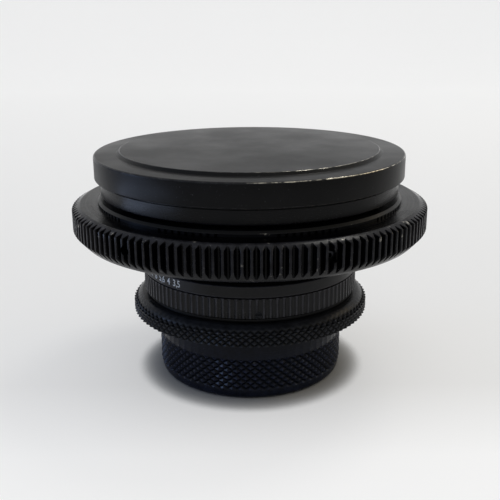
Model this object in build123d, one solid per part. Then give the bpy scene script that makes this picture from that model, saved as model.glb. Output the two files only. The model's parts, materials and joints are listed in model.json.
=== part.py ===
from build123d import *
from dataclasses import dataclass
import math
import os

# Cinema prime lens, standing on its rear cap with the front cap on.
# Millimetres. The optical axis is Z, the front of the lens points up, and Z = 0 is the
# surface that the rear cap stands on. Angles around the axis are given as azimuths:
# 0 is the side that faces -Y, and they grow towards +X.

os.makedirs("parts", exist_ok=True)

# Rear cap
CAP_KNURL_R = 30.5
CAP_PLAIN_R = 30.2
CAP_TOP_Z = 21.2
CAP_FLOOR_Z = 3.0
CAP_KNURL_Z = (3.3, 13.3)
CAP_GROOVES = 22
CAP_GROOVE_LEAN = 45.0
CAP_GROOVE_DEPTH = 0.8
CAP_BOTTOM_FILLET = 2.0

# Rear mount: a 54 mm tail and the seat that meets the camera
TAIL_R = 27.0
TAIL_BORE_R = 25.2
TAIL_END_Z = 8.0
SEAT_Z = 25.0
SEAT_R = 31.5
SHOULDER_R = 34.6
SHOULDER_Z = (23.3, 24.9)
HUB_R = 33.0
HUB_TOP_Z = 27.8
HUB_BORE_R = 28.8
MOUNT_SCREW_R = 0.8
MOUNT_SCREW_HEAD = (1.5, 0.7)
MOUNT_SCREW_PCD_R = 29.85
MOUNT_SCREW_TOP_Z = 33.0
MOUNT_SCREW_AZIMUTH = -10.0
MOUNT_SCREW_COUNT = 6
MOUNT_SCREW_SLOT = (0.4, 0.8)

# Knurled lock ring with its breech lug plate
LOCK_R = 38.75
LOCK_Z = (21.5, 27.5)
LOCK_SHOULDER_R = 36.0
LOCK_SHOULDER_Z = 25.0
LOCK_EDGE = 0.2
LOCK_BORE_R = 33.06
LOCK_CHAMBER_R = 34.7
LUG_PLATE_R = 37.0
LUG_PLATE_TOP_Z = 22.9
LUG_PLATE_BORE_R = 33.2
LUG_TIP_R = 28.9
LUG_ANGLE = 38.0
LUG_COUNT = 3
LUG_SCREW_R = 0.6
LUG_SCREW_HEAD = (1.1, 0.5)
LUG_SCREW_PCD_R = 35.7
LUG_SCREW_COUNT = 6
LUG_SCREW_TOP_Z = 25.0
LUG_SCREW_SLOT = (0.25, 0.5)
LUG_FIRST_AZIMUTH = 30.0
LOCK_TURN = 60.0
LOCK_PIN_R = 0.6
LOCK_PIN_PCD_R = 33.85
LOCK_PIN_AZIMUTH = 180.0
LOCK_PIN_Z = (24.0, 26.1)

# Fixed barrel, which everything else sits in or turns on
GUIDE_BORE_R = 28.6
LOWER_R = 33.5
LOWER_TOP_Z = 39.4
UPPER_R = 31.6
UPPER_TOP_Z = 50.6
FLANGE_R = 34.4
FLANGE_TOP_Z = 28.6
COLLAR_R = 36.0
COLLAR_Z = (41.2, 46.1)
KEY_WIDTH = 3.0
KEY_R = (27.4, 31.0)
KEY_Z = (43.4, 45.8)
KEY_AZIMUTHS = (90, 270)

# Aperture ring
APERTURE_R = 35.07
APERTURE_BORE_R = 33.56
APERTURE_Z = (28.9, 39.1)
APERTURE_EDGE = 0.2
RIB_TOP_Z = 35.2
GROOVE_TOP_Z = 35.6
GROOVE_R = 34.5
RIB_COUNT = 108
RIB_DEPTH = 0.35
RIB_LAND = 0.3
RIB_SLOPE = 0.22
RIB_FOOT = 0.2
APERTURE_TURN = 33.6
DRIVE_AZIMUTH = 4.2
DRIVE_Z = 30.2
DRIVE_PIN_R = 0.8
DRIVE_HEAD_R = 1.0
DRIVE_TIP_R = 23.3
DRIVE_HEAD_SUNK = 0.35
DRIVE_HEAD_SEAT_R = 34.0
DRIVE_SLOT = (0.35, 0.6)

# Focus ring
FOCUS_R = 48.6
FOCUS_Z = (46.3, 59.7)
FOCUS_FLOOR_TOP_Z = 48.5
FOCUS_BORE_R = 43.5
FOCUS_BEARING_R = 31.66
RIB_GROUPS = 9
RIBS_IN_GROUP = 8
FOCUS_RIB_PITCH = 2.5
FOCUS_RIB_DEPTH = 0.7
FOCUS_NOTCH_MOUTH = 1.8
FOCUS_NOTCH_FLOOR = 0.7
FOCUS_NOTCH_TOP_Z = 58.9
FOCUS_GROUP_AZIMUTH = 19.2
HELICOID_BORE_R = 42.0
HELICOID_Z = (48.6, 59.3)
FOCUS_TURN = 240.0
FOCUS_TRAVEL = 4.5
FOCUS_PIN_R = 0.8
FOCUS_PIN_PCD_R = 34.5
FOCUS_PIN_AZIMUTH = 150.0
FOCUS_PIN_Z = (44.5, 47.3)
FOCUS_BOTTOM_BEVEL = 1.2
FOCUS_TOP_BEVEL = 0.3
KEEPER_R = 37.0
KEEPER_Z = (48.8, 50.4)

# Follow-focus gear, module 0.8
GEAR_MODULE = 0.8
GEAR_TEETH = 140
GEAR_TIP_R = GEAR_MODULE * (GEAR_TEETH + 2) / 2
GEAR_ROOT_R = GEAR_TIP_R - 2.25 * GEAR_MODULE
GEAR_PITCH_R = GEAR_MODULE * GEAR_TEETH / 2
PRESSURE_ANGLE = 20.0
GEAR_BORE_R = 48.65
GEAR_Z = (47.3, 58.15)
GEAR_FACE_Z = (50.4, 56.75)
GEAR_FLAT_R = (54.0, 54.2)
GEAR_FIRST_TOOTH = 0.5
SET_SCREW_R = 1.5
SET_SCREW_COUNT = 6
SET_SCREW_AZIMUTH = -36.9
SET_SCREW_Z = 53.5
SET_SCREW_END_R = 54.2
SET_SCREW_SOCKET_R = 0.75
SET_SCREW_SOCKET_DEPTH = 1.2

# Optical barrel, which slides along the axis
TUBE_R = 28.55
TUBE_BORE_R = 26.4
TUBE_END_Z = 27.1
END_GAP = 0.3
WEB_Z = 52.0
SLEEVE_R = 41.7
SLEEVE_BORE_R = 38.7
SLEEVE_END_Z = 50.0
SLEEVE_TOP_Z = 66.2
FRONT_THREAD_R = 38.0
THREAD_RELIEF = 0.4
FRONT_WELL_R = 29.2
FRONT_WELL_Z = 53.5
KEYWAY_PLAY = 0.5

# Front barrel: 95 mm outside, 86 mm filter thread
FRONT_R = 47.5
FRONT_Z = (61.0, 70.9)
CAP_SEAT_R = 46.9
CAP_SEAT_Z = 66.0
FILTER_R = 42.5
TRIM_Z = (66.4, 67.1)
TRIM_SEAT_R = 42.0
TRIM_BORE_R = 35.0
TRIM_STEPS = 4
TRIM_FIRST_STEP_R = 41.0
TRIM_STEP = (1.3, 0.12)
TRIM_STEP_SLOPE = 0.3
FRONT_CHAMFER = 0.4

# Front cap
FRONT_CAP_R = 49.3
FRONT_CAP_Z = (66.1, 73.2)
FRONT_CAP_TOP_Z = 74.2
FRONT_CAP_EDGE = 0.5
DISC_FOOT_R = 42.2
DISC_TOP_R = 41.2
DISC_FILLET = 0.5
ROOF_Z = 71.2
ROOF_RECESS_R = 40.0
ROOF_RECESS_Z = 72.9
LINER_R = (47.05, 48.1)
LINER_Z = (66.4, 70.8)

# Iris
BLADE_COUNT = 8
BLADE_FIRST_AZIMUTH = 8.4
BLADE_TURN = 22.8
BLADE_INNER_R = 10.5
BLADE_OUTER_R = 20.3
BLADE_SPAN = (3.0, 126.0)
BLADE_THICK = 0.2
BLADE_PITCH = 0.3
BLADE_FIRST_Z = 31.45
BLADE_PIN_R = 0.5
BLADE_PIN_PLAY = 0.05
BLADE_PIN_FOOT_Z = 29.5
BLADE_PIN_TOP_Z = 35.0
PIVOT_R = 22.5
LEVER = 4.0
LEVER_HALF_SWING = BLADE_TURN / 2
EAR_R = 1.1
NECK_R = 2.0
NECK_AT = (17.9, 9.0)
IRIS_PLATE_Z = (34.2, 35.2)
IRIS_PLATE_BORE_R = 16.0
CAM_Z = (29.2, 31.2)
CAM_R = (19.8, 25.6)
CAM_PATH_STEPS = 8
FORK_R = (22.8, 24.9)
FORK_BOTTOM_Z = 24.0
FORK_PRONG = 1.8
KEEPER_PLATE_Z = (28.15, 29.0)
KEEPER_PLATE_BORE_R = 20.5
WINDOW_MARGIN_PIN = 3.2
WINDOW_MARGIN_FORK = 8.0
WINDOW_Z = (26.0, 30.0)

# Rear cell
CELL_R = 19.5
CELL_END_Z = 9.0
CELL_TOP_Z = 28.6
CELL_NECK_R = 17.5
CELL_FLANGE_Z = (27.1, 28.05)
CELL_BAFFLE_R = 12.5

CLEARANCE = 0.05
PIN_PLAY = 0.1
SCREW_PLAY = 0.02


@dataclass
class Element:
    """A lens element: height, curve and polished radius of each face, and its ground edge.

    A curve is a radius of curvature, positive where the face falls towards its edge.
    """

    front_z: float
    front_curve: float
    front_r: float
    rear_z: float
    rear_curve: float
    rear_r: float
    edge_r: float

    def front_height(self, r):
        """Height of the front face at a radius; it is flat outside its polished part."""
        return face_height(self.front_z, self.front_curve, min(r, self.front_r))

    def rear_height(self, r):
        """Height of the rear face at a radius."""
        return face_height(self.rear_z, self.rear_curve, min(r, self.rear_r))

    def ring_bottom(self, bore_r):
        """Height at which a ring with this bore rests on the front face."""
        return max(self.front_height(bore_r), self.front_height(self.edge_r)) + CLEARANCE

    def seat_top(self, bore_r):
        """Height at which a shoulder with this bore carries the rear face."""
        return min(self.rear_height(bore_r), self.rear_height(self.edge_r)) - CLEARANCE


FRONT_GLASS = Element(67.0, 140.0, 34.4, 63.4, 58.0, 29.0, 36.0)
SECOND_GLASS = Element(56.0, 60.0, 24.0, 52.8, 32.0, 21.0, 24.5)
THIRD_GLASS = Element(46.5, 45.0, 19.9, 36.8, -60.0, 19.9, 20.0)
FOURTH_GLASS = Element(25.2, -40.0, 13.0, 23.4, 30.0, 13.4, 15.0)
FIFTH_GLASS = Element(23.38, 30.0, 13.4, 15.8, -40.0, 13.4, 13.5)
REAR_GLASS = Element(15.4, 60.0, 15.4, 9.9, -45.0, 15.4, 15.5)

# Retaining rings: bore radius, and height of the ring
FRONT_RING = (34.6, 1.85)
SECOND_RING = (22.6, 1.6)
THIRD_RING = (18.6, 1.6)
FOURTH_RING = (13.2, 1.1)
REAR_RING = (13.6, 2.8)
SECOND_SEAT_BORE_R = 20.05
THIRD_SEAT_BORE_R = 18.0


def place(azimuth):
    """Turn about the optical axis that carries the +X direction to an azimuth."""
    return Rot(0, 0, azimuth - 90)


def point_at(radius, azimuth):
    """Point in the plane at a radius and azimuth."""
    angle = math.radians(azimuth - 90)
    return (radius * math.cos(angle), radius * math.sin(angle))


def turned(*points):
    """A piece turned on a lathe, from a closed outline of (radius, height) corners."""
    outline = Polyline([(r, 0, z) for r, z in points], close=True)
    return revolve(make_face(outline), Axis.Z)


def tube(outer_r, inner_r, z):
    """A plain ring between two radii and two heights."""
    return turned((inner_r, z[0]), (outer_r, z[0]), (outer_r, z[1]), (inner_r, z[1]))


def rod(radius, z, at=(0, 0)):
    """A pin along the axis direction, between two heights."""
    return Pos(at[0], at[1], (z[0] + z[1]) / 2) * Cylinder(radius, z[1] - z[0])


def radial_rod(radius, from_r, to_r, azimuth, z):
    """A pin that points at the axis, between two radii."""
    return place(azimuth) * Pos((from_r + to_r) / 2, 0, z) * Rot(0, 90, 0) * Cylinder(radius, to_r - from_r)


def arc_block(inner_r, outer_r, z, azimuths):
    """A stretch of ring between two azimuths."""
    ring = tube(outer_r, inner_r, z)
    span = azimuths[1] - azimuths[0]
    reach = outer_r * 3
    half = span / 2
    if half < 90:
        wedge_points = [(0, 0), (reach, -reach * math.tan(math.radians(half)))]
        wedge_points.append((reach, reach * math.tan(math.radians(half))))
        wedge = Pos(0, 0, z[0] - 1) * extrude(make_face(Polyline(wedge_points, close=True)), z[1] - z[0] + 2)
        return place(azimuths[0] + half) * (ring & wedge)
    rest = 180 - half
    gap_points = [(0, 0), (-reach, -reach * math.tan(math.radians(rest)))]
    gap_points.append((-reach, reach * math.tan(math.radians(rest))))
    gap = Pos(0, 0, z[0] - 1) * extrude(make_face(Polyline(gap_points, close=True)), z[1] - z[0] + 2)
    return place(azimuths[0] + half) * (ring - gap)


def ribbed_prism(rib_r, gap_r, count, land, slope, z, first=0.0):
    """A prism with flat-topped ribs all round; land and slope are shares of one pitch."""
    pitch = 360 / count
    points = []
    for i in range(count):
        middle = first + i * pitch
        points.append(point_at(gap_r, middle - (land / 2 + slope) * pitch))
        points.append(point_at(rib_r, middle - land / 2 * pitch))
        points.append(point_at(rib_r, middle + land / 2 * pitch))
        points.append(point_at(gap_r, middle + (land / 2 + slope) * pitch))
    return Pos(0, 0, z[0]) * extrude(make_face(Polyline(points, close=True)), z[1] - z[0])


def face_height(vertex_z, curve, r):
    """Height of a spherical glass face at a distance from the axis; curve > 0 falls outwards."""
    return vertex_z - curve + math.copysign(math.sqrt(curve ** 2 - r ** 2), curve)


def glass(lens):
    """Solid of a lens element, with a flat ring from each polished face to the ground edge."""
    front_rim = lens.front_height(lens.front_r)
    rear_rim = lens.rear_height(lens.rear_r)
    front_middle = (lens.front_r / 2, 0, lens.front_height(lens.front_r / 2))
    rear_middle = (lens.rear_r / 2, 0, lens.rear_height(lens.rear_r / 2))
    front_arc = ThreePointArc((0, 0, lens.front_z), front_middle, (lens.front_r, 0, front_rim))
    rear_arc = ThreePointArc((lens.rear_r, 0, rear_rim), rear_middle, (0, 0, lens.rear_z))
    side = Polyline(
        (lens.front_r, 0, front_rim),
        (lens.edge_r, 0, front_rim),
        (lens.edge_r, 0, rear_rim),
        (lens.rear_r, 0, rear_rim),
    )
    axis_line = Line((0, 0, lens.rear_z), (0, 0, lens.front_z))
    return revolve(make_face(front_arc + side + rear_arc + axis_line), Axis.Z)


def retaining_ring(lens, ring, outer_r):
    """Ring that holds a lens element down from its front."""
    bottom = lens.ring_bottom(ring[0])
    return tube(outer_r, ring[0], (bottom, bottom + ring[1]))


def circles_of(body, radius):
    """Round edges of one radius, from the lowest to the highest."""
    circles = body.edges().filter_by(GeomType.CIRCLE).sort_by(Axis.Z)
    return [edge for edge in circles if abs(edge.radius - radius) < 0.01]


def together(pieces):
    """Separate solids kept as one group."""
    return Compound(children=[solid for piece in pieces for solid in piece.solids()])


def write(name, shape, color):
    """Write one node."""
    shape.label = name
    shape.color = Color(*color)
    export_step(shape, f"parts/{name}.step")


BLACK = (0.05, 0.05, 0.055)
STEEL = (0.55, 0.55, 0.57)
BRASS = (0.70, 0.55, 0.30)
GLASS = (0.55, 0.65, 0.70)
FELT = (0.08, 0.07, 0.07)


def make_rear_cap():
    """Push-on cap that the lens stands on; its bore runs on the tail of the mount."""
    body = turned(
        (0, 0),
        (CAP_PLAIN_R, 0),
        (CAP_PLAIN_R, CAP_TOP_Z),
        (TAIL_R + 2 * CLEARANCE, CAP_TOP_Z),
        (TAIL_R + 2 * CLEARANCE, CAP_FLOOR_Z),
        (0, CAP_FLOOR_Z),
    )
    body = fillet(circles_of(body, CAP_PLAIN_R)[0], CAP_BOTTOM_FILLET)
    body += tube(CAP_KNURL_R, TAIL_R + 1, CAP_KNURL_Z)
    return body - cap_grooves()


def cap_grooves():
    """Main grooves of the diamond knurl: right-angled notches that lean both ways and cross."""
    floor_r = CAP_KNURL_R - CAP_GROOVE_DEPTH
    mouth_r = CAP_KNURL_R + CAP_GROOVE_DEPTH
    height = CAP_KNURL_Z[1] - CAP_KNURL_Z[0]
    middle = Pos(0, 0, sum(CAP_KNURL_Z) / 2)
    half_width = mouth_r - floor_r
    notch = Polyline([(floor_r, 0), (mouth_r, -half_width), (mouth_r, half_width)], close=True)
    notch = extrude(make_face(notch), height, both=True)
    band = middle * Box(4 * CAP_KNURL_R, 4 * CAP_KNURL_R, height)
    grooves = []
    for i in range(CAP_GROOVES):
        for lean in (CAP_GROOVE_LEAN, -CAP_GROOVE_LEAN):
            groove = place(i * 360 / CAP_GROOVES) * middle * Rot(lean, 0, 0) * notch
            grooves.append(groove & band)
    return grooves


def mount_screw_azimuths():
    """Azimuths of the screws that hold the mount to the fixed barrel."""
    return [MOUNT_SCREW_AZIMUTH + i * 360 / MOUNT_SCREW_COUNT for i in range(MOUNT_SCREW_COUNT)]


def make_mount_screw(azimuth, play=0.0):
    """Countersunk screw, or its hole where play is added."""
    head_r, head_height = MOUNT_SCREW_HEAD
    head = Cone(head_r + play, MOUNT_SCREW_R + play, head_height)
    head = Pos(0, 0, SEAT_Z + head_height / 2) * head
    screw = head + rod(MOUNT_SCREW_R + play, (SEAT_Z + head_height / 2, MOUNT_SCREW_TOP_Z + play))
    if not play:
        screw -= Pos(0, 0, SEAT_Z) * Box(3 * MOUNT_SCREW_R, *MOUNT_SCREW_SLOT)
    return Pos(*point_at(MOUNT_SCREW_PCD_R, azimuth), 0) * screw


def make_rear_mount():
    """Tail, seat and hub in one turned piece."""
    body = turned(
        (TAIL_BORE_R, TAIL_END_Z),
        (TAIL_R, TAIL_END_Z),
        (TAIL_R, SEAT_Z),
        (SEAT_R, SEAT_Z),
        (SEAT_R, SHOULDER_Z[0]),
        (SHOULDER_R, SHOULDER_Z[0]),
        (SHOULDER_R, SHOULDER_Z[1]),
        (HUB_R, SHOULDER_Z[1]),
        (HUB_R, HUB_TOP_Z),
        (HUB_BORE_R, HUB_TOP_Z),
        (HUB_BORE_R, TUBE_END_Z - END_GAP),
        (TAIL_BORE_R, TUBE_END_Z - END_GAP),
    )
    for azimuth in mount_screw_azimuths():
        body -= make_mount_screw(azimuth, SCREW_PLAY)
    return body - make_lock_pin()


def make_lock_pin():
    """Pin in the mount's shoulder that stops the lock ring at both ends of its turn."""
    return rod(LOCK_PIN_R, LOCK_PIN_Z, point_at(LOCK_PIN_PCD_R, LOCK_PIN_AZIMUTH))


def make_lock_ring():
    """Knurled ring that turns on the hub; the knurl itself is left plain here."""
    body = turned(
        (LUG_PLATE_R + CLEARANCE, LOCK_Z[0]),
        (LOCK_R - LOCK_EDGE, LOCK_Z[0]),
        (LOCK_R, LOCK_Z[0] + LOCK_EDGE),
        (LOCK_R, LOCK_SHOULDER_Z),
        (LOCK_SHOULDER_R, LOCK_Z[1]),
        (LOCK_BORE_R, LOCK_Z[1]),
        (LOCK_BORE_R, SEAT_Z),
        (LOCK_CHAMBER_R, SEAT_Z),
        (LOCK_CHAMBER_R, LUG_PLATE_TOP_Z),
        (LUG_PLATE_R + CLEARANCE, LUG_PLATE_TOP_Z),
    )
    play = math.degrees((LOCK_PIN_R + PIN_PLAY) / LOCK_PIN_PCD_R)
    span = (LOCK_PIN_AZIMUTH - LOCK_TURN - play, LOCK_PIN_AZIMUTH + play)
    groove_z = (SEAT_Z - 1, LOCK_PIN_Z[1] + 2 * PIN_PLAY)
    body -= arc_block(HUB_R, LOCK_PIN_PCD_R + LOCK_PIN_R + PIN_PLAY, groove_z, span)
    for azimuth in lug_screw_azimuths():
        body -= make_lug_screw(azimuth, SCREW_PLAY)
    return body


def lug_screw_azimuths():
    """Azimuths of the screws under the lug plate."""
    return [i * 360 / LUG_SCREW_COUNT for i in range(LUG_SCREW_COUNT)]


def make_lug_plate():
    """Flat ring with three inward lugs, which pull the camera's lugs against the seat."""
    z = (LOCK_Z[0], LUG_PLATE_TOP_Z)
    plate = tube(LUG_PLATE_R, LUG_PLATE_BORE_R, z)
    for i in range(LUG_COUNT):
        start = LUG_FIRST_AZIMUTH + i * 360 / LUG_COUNT - LUG_ANGLE / 2
        plate += arc_block(LUG_TIP_R, (LUG_PLATE_BORE_R + LUG_PLATE_R) / 2, z, (start, start + LUG_ANGLE))
    for azimuth in lug_screw_azimuths():
        plate -= make_lug_screw(azimuth, SCREW_PLAY)
    return plate


def make_lug_screw(azimuth, play=0.0):
    """Small countersunk screw of the lug plate."""
    head_r, head_height = LUG_SCREW_HEAD
    head = Cone(head_r + play, LUG_SCREW_R + play, head_height)
    head = Pos(0, 0, LOCK_Z[0] + head_height / 2) * head
    screw = head + rod(LUG_SCREW_R + play, (LOCK_Z[0] + head_height / 2, LUG_SCREW_TOP_Z + play))
    if not play:
        screw -= Pos(0, 0, LOCK_Z[0]) * Box(3 * LUG_SCREW_R, *LUG_SCREW_SLOT)
    return Pos(*point_at(LUG_SCREW_PCD_R, azimuth), 0) * screw


def drive_sector(inner_r, outer_r, z, margin):
    """Window that the aperture ring's drive screw, or its fork, sweeps."""
    return arc_block(inner_r, outer_r, z, (DRIVE_AZIMUTH - margin, DRIVE_AZIMUTH + APERTURE_TURN + margin))


def make_guide_keys():
    """Two keys in the fixed barrel that let the optical barrel slide but not turn."""
    length = KEY_R[1] - KEY_R[0]
    height = KEY_Z[1] - KEY_Z[0]
    key = Pos(sum(KEY_R) / 2, 0, sum(KEY_Z) / 2) * Box(length, KEY_WIDTH, height)
    return [place(azimuth) * key for azimuth in KEY_AZIMUTHS]


def make_fixed_barrel():
    """Main tube of the lens body."""
    body = turned(
        (GUIDE_BORE_R, HUB_TOP_Z),
        (FLANGE_R, HUB_TOP_Z),
        (FLANGE_R, FLANGE_TOP_Z),
        (LOWER_R, FLANGE_TOP_Z),
        (LOWER_R, LOWER_TOP_Z),
        (UPPER_R, LOWER_TOP_Z),
        (UPPER_R, COLLAR_Z[0]),
        (COLLAR_R, COLLAR_Z[0]),
        (COLLAR_R, COLLAR_Z[1]),
        (UPPER_R, COLLAR_Z[1]),
        (UPPER_R, UPPER_TOP_Z),
        (GUIDE_BORE_R, UPPER_TOP_Z),
    )
    slot_z = (DRIVE_Z - DRIVE_PIN_R - CLEARANCE, DRIVE_Z + DRIVE_PIN_R + CLEARANCE)
    body -= drive_sector(GUIDE_BORE_R - 1, LOWER_R + 1, slot_z, WINDOW_MARGIN_PIN)
    for azimuth in mount_screw_azimuths():
        body -= make_mount_screw(azimuth, SCREW_PLAY)
    for key in make_guide_keys():
        body -= key
    return body - make_focus_pin()


def make_focus_pin():
    """Pin on the collar that stops the focus ring at infinity and at its nearest distance."""
    return rod(FOCUS_PIN_R, FOCUS_PIN_Z, point_at(FOCUS_PIN_PCD_R, FOCUS_PIN_AZIMUTH))


def make_drive_screw(play=0.0):
    """Screw through the aperture ring, or its hole where play is added; its tip drives the iris."""
    face_r = APERTURE_R + 1 if play else APERTURE_R - DRIVE_HEAD_SUNK
    screw = radial_rod(DRIVE_PIN_R + play, DRIVE_TIP_R, DRIVE_HEAD_SEAT_R + 0.1, DRIVE_AZIMUTH, DRIVE_Z)
    screw += radial_rod(DRIVE_HEAD_R + play, DRIVE_HEAD_SEAT_R, face_r, DRIVE_AZIMUTH, DRIVE_Z)
    if play:
        return screw
    slot = Pos(face_r, 0, DRIVE_Z) * Box(DRIVE_SLOT[1], 3 * DRIVE_HEAD_R, DRIVE_SLOT[0])
    return screw - place(DRIVE_AZIMUTH) * slot


def make_aperture_ring():
    """Ribbed grip below, smooth scale band above, a fine groove between them."""
    z = (APERTURE_Z[0], RIB_TOP_Z)
    ribs = ribbed_prism(APERTURE_R, APERTURE_R - RIB_DEPTH, RIB_COUNT, RIB_LAND, RIB_SLOPE, z)
    ribs &= turned(
        (0, APERTURE_Z[0]),
        (APERTURE_R - RIB_DEPTH, APERTURE_Z[0]),
        (APERTURE_R + RIB_DEPTH, APERTURE_Z[0] + 2 * RIB_FOOT),
        (APERTURE_R + RIB_DEPTH, RIB_TOP_Z),
        (0, RIB_TOP_Z),
    )
    ring = ribs + tube(GROOVE_R, APERTURE_BORE_R - 1, (RIB_TOP_Z - 0.1, GROOVE_TOP_Z + 0.1))
    ring += turned(
        (APERTURE_BORE_R - 1, GROOVE_TOP_Z),
        (APERTURE_R, GROOVE_TOP_Z),
        (APERTURE_R, APERTURE_Z[1] - APERTURE_EDGE),
        (APERTURE_R - APERTURE_EDGE, APERTURE_Z[1]),
        (APERTURE_BORE_R - 1, APERTURE_Z[1]),
    )
    ring -= rod(APERTURE_BORE_R, (APERTURE_Z[0] - 1, APERTURE_Z[1] + 1))
    return ring - make_drive_screw(SCREW_PLAY)


def make_focus_ring():
    """Focus ring: nine groups of ribs outside, bearing floor and stop groove inside."""
    outline = Circle(FOCUS_R).face()
    notches = []
    for group in range(RIB_GROUPS):
        start = FOCUS_GROUP_AZIMUTH + group * 360 / RIB_GROUPS - RIBS_IN_GROUP * FOCUS_RIB_PITCH / 2
        for i in range(RIBS_IN_GROUP + 1):
            middle = start + i * FOCUS_RIB_PITCH
            notch = Polyline(
                [
                    point_at(FOCUS_R + 1, middle - FOCUS_NOTCH_MOUTH / 2),
                    point_at(FOCUS_R - FOCUS_RIB_DEPTH, middle - FOCUS_NOTCH_FLOOR / 2),
                    point_at(FOCUS_R - FOCUS_RIB_DEPTH, middle + FOCUS_NOTCH_FLOOR / 2),
                    point_at(FOCUS_R + 1, middle + FOCUS_NOTCH_MOUTH / 2),
                ],
                close=True,
            )
            notches.append(make_face(notch))
    outline = outline - notches
    body = Pos(0, 0, FOCUS_Z[0]) * extrude(outline, FOCUS_NOTCH_TOP_Z - FOCUS_Z[0])
    body += rod(FOCUS_R, (FOCUS_NOTCH_TOP_Z, FOCUS_Z[1]))
    body &= turned(
        (FOCUS_BEARING_R, FOCUS_Z[0]),
        (FOCUS_R - FOCUS_BOTTOM_BEVEL, FOCUS_Z[0]),
        (FOCUS_R + 0.1, FOCUS_Z[0] + FOCUS_BOTTOM_BEVEL + 0.1),
        (FOCUS_R + 0.1, FOCUS_Z[1] - FOCUS_TOP_BEVEL - 0.1),
        (FOCUS_R - FOCUS_TOP_BEVEL, FOCUS_Z[1]),
        (FOCUS_BORE_R, FOCUS_Z[1]),
        (FOCUS_BORE_R, FOCUS_FLOOR_TOP_Z),
        (FOCUS_BEARING_R, FOCUS_FLOOR_TOP_Z),
    )
    play = math.degrees((FOCUS_PIN_R + PIN_PLAY) / FOCUS_PIN_PCD_R)
    span = (FOCUS_PIN_AZIMUTH - FOCUS_TURN - play, FOCUS_PIN_AZIMUTH + play)
    inner = FOCUS_PIN_PCD_R - FOCUS_PIN_R - PIN_PLAY
    outer = FOCUS_PIN_PCD_R + FOCUS_PIN_R + PIN_PLAY
    return body - arc_block(inner, outer, (FOCUS_Z[0] - 1, FOCUS_PIN_Z[1] + 2 * PIN_PLAY), span)


def set_screw_azimuths():
    """Azimuths of the screws that clamp the gear to the focus ring."""
    return [SET_SCREW_AZIMUTH + i * 360 / SET_SCREW_COUNT for i in range(SET_SCREW_COUNT)]


def make_set_screw(azimuth):
    """Socket set screw, sunk in the gear and bearing on the focus ring."""
    screw = radial_rod(SET_SCREW_R - SCREW_PLAY, GEAR_BORE_R, SET_SCREW_END_R, azimuth, SET_SCREW_Z)
    socket = extrude(RegularPolygon(SET_SCREW_SOCKET_R, 6), SET_SCREW_SOCKET_DEPTH + 1)
    foot = Pos(SET_SCREW_END_R - SET_SCREW_SOCKET_DEPTH, 0, SET_SCREW_Z)
    return screw - place(azimuth) * foot * Rot(0, 90, 0) * socket


def make_gear():
    """Spur gear of 140 teeth with a steep bevel on each face of the rim."""
    pitch = 360 / GEAR_TEETH
    half_at_pitch = math.pi * GEAR_MODULE / 4
    lean = math.tan(math.radians(PRESSURE_ANGLE))
    half_tip = half_at_pitch - (GEAR_TIP_R - GEAR_PITCH_R) * lean
    half_root = half_at_pitch + (GEAR_PITCH_R - GEAR_ROOT_R) * lean
    tip_angle = math.degrees(half_tip / GEAR_TIP_R)
    root_angle = math.degrees(half_root / GEAR_ROOT_R)
    land = 2 * tip_angle / pitch
    slope = (root_angle - tip_angle) / pitch
    teeth = ribbed_prism(GEAR_TIP_R, GEAR_ROOT_R, GEAR_TEETH, land, slope, GEAR_Z, GEAR_FIRST_TOOTH)
    gear = teeth & turned(
        (GEAR_BORE_R, GEAR_Z[0]),
        (GEAR_FLAT_R[0], GEAR_Z[0]),
        (GEAR_TIP_R, GEAR_FACE_Z[0]),
        (GEAR_TIP_R, GEAR_FACE_Z[1]),
        (GEAR_FLAT_R[1], GEAR_Z[1]),
        (GEAR_BORE_R, GEAR_Z[1]),
    )
    for azimuth in set_screw_azimuths():
        gear -= radial_rod(SET_SCREW_R, GEAR_BORE_R - 1, GEAR_TIP_R + 1, azimuth, SET_SCREW_Z)
    return gear


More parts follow.
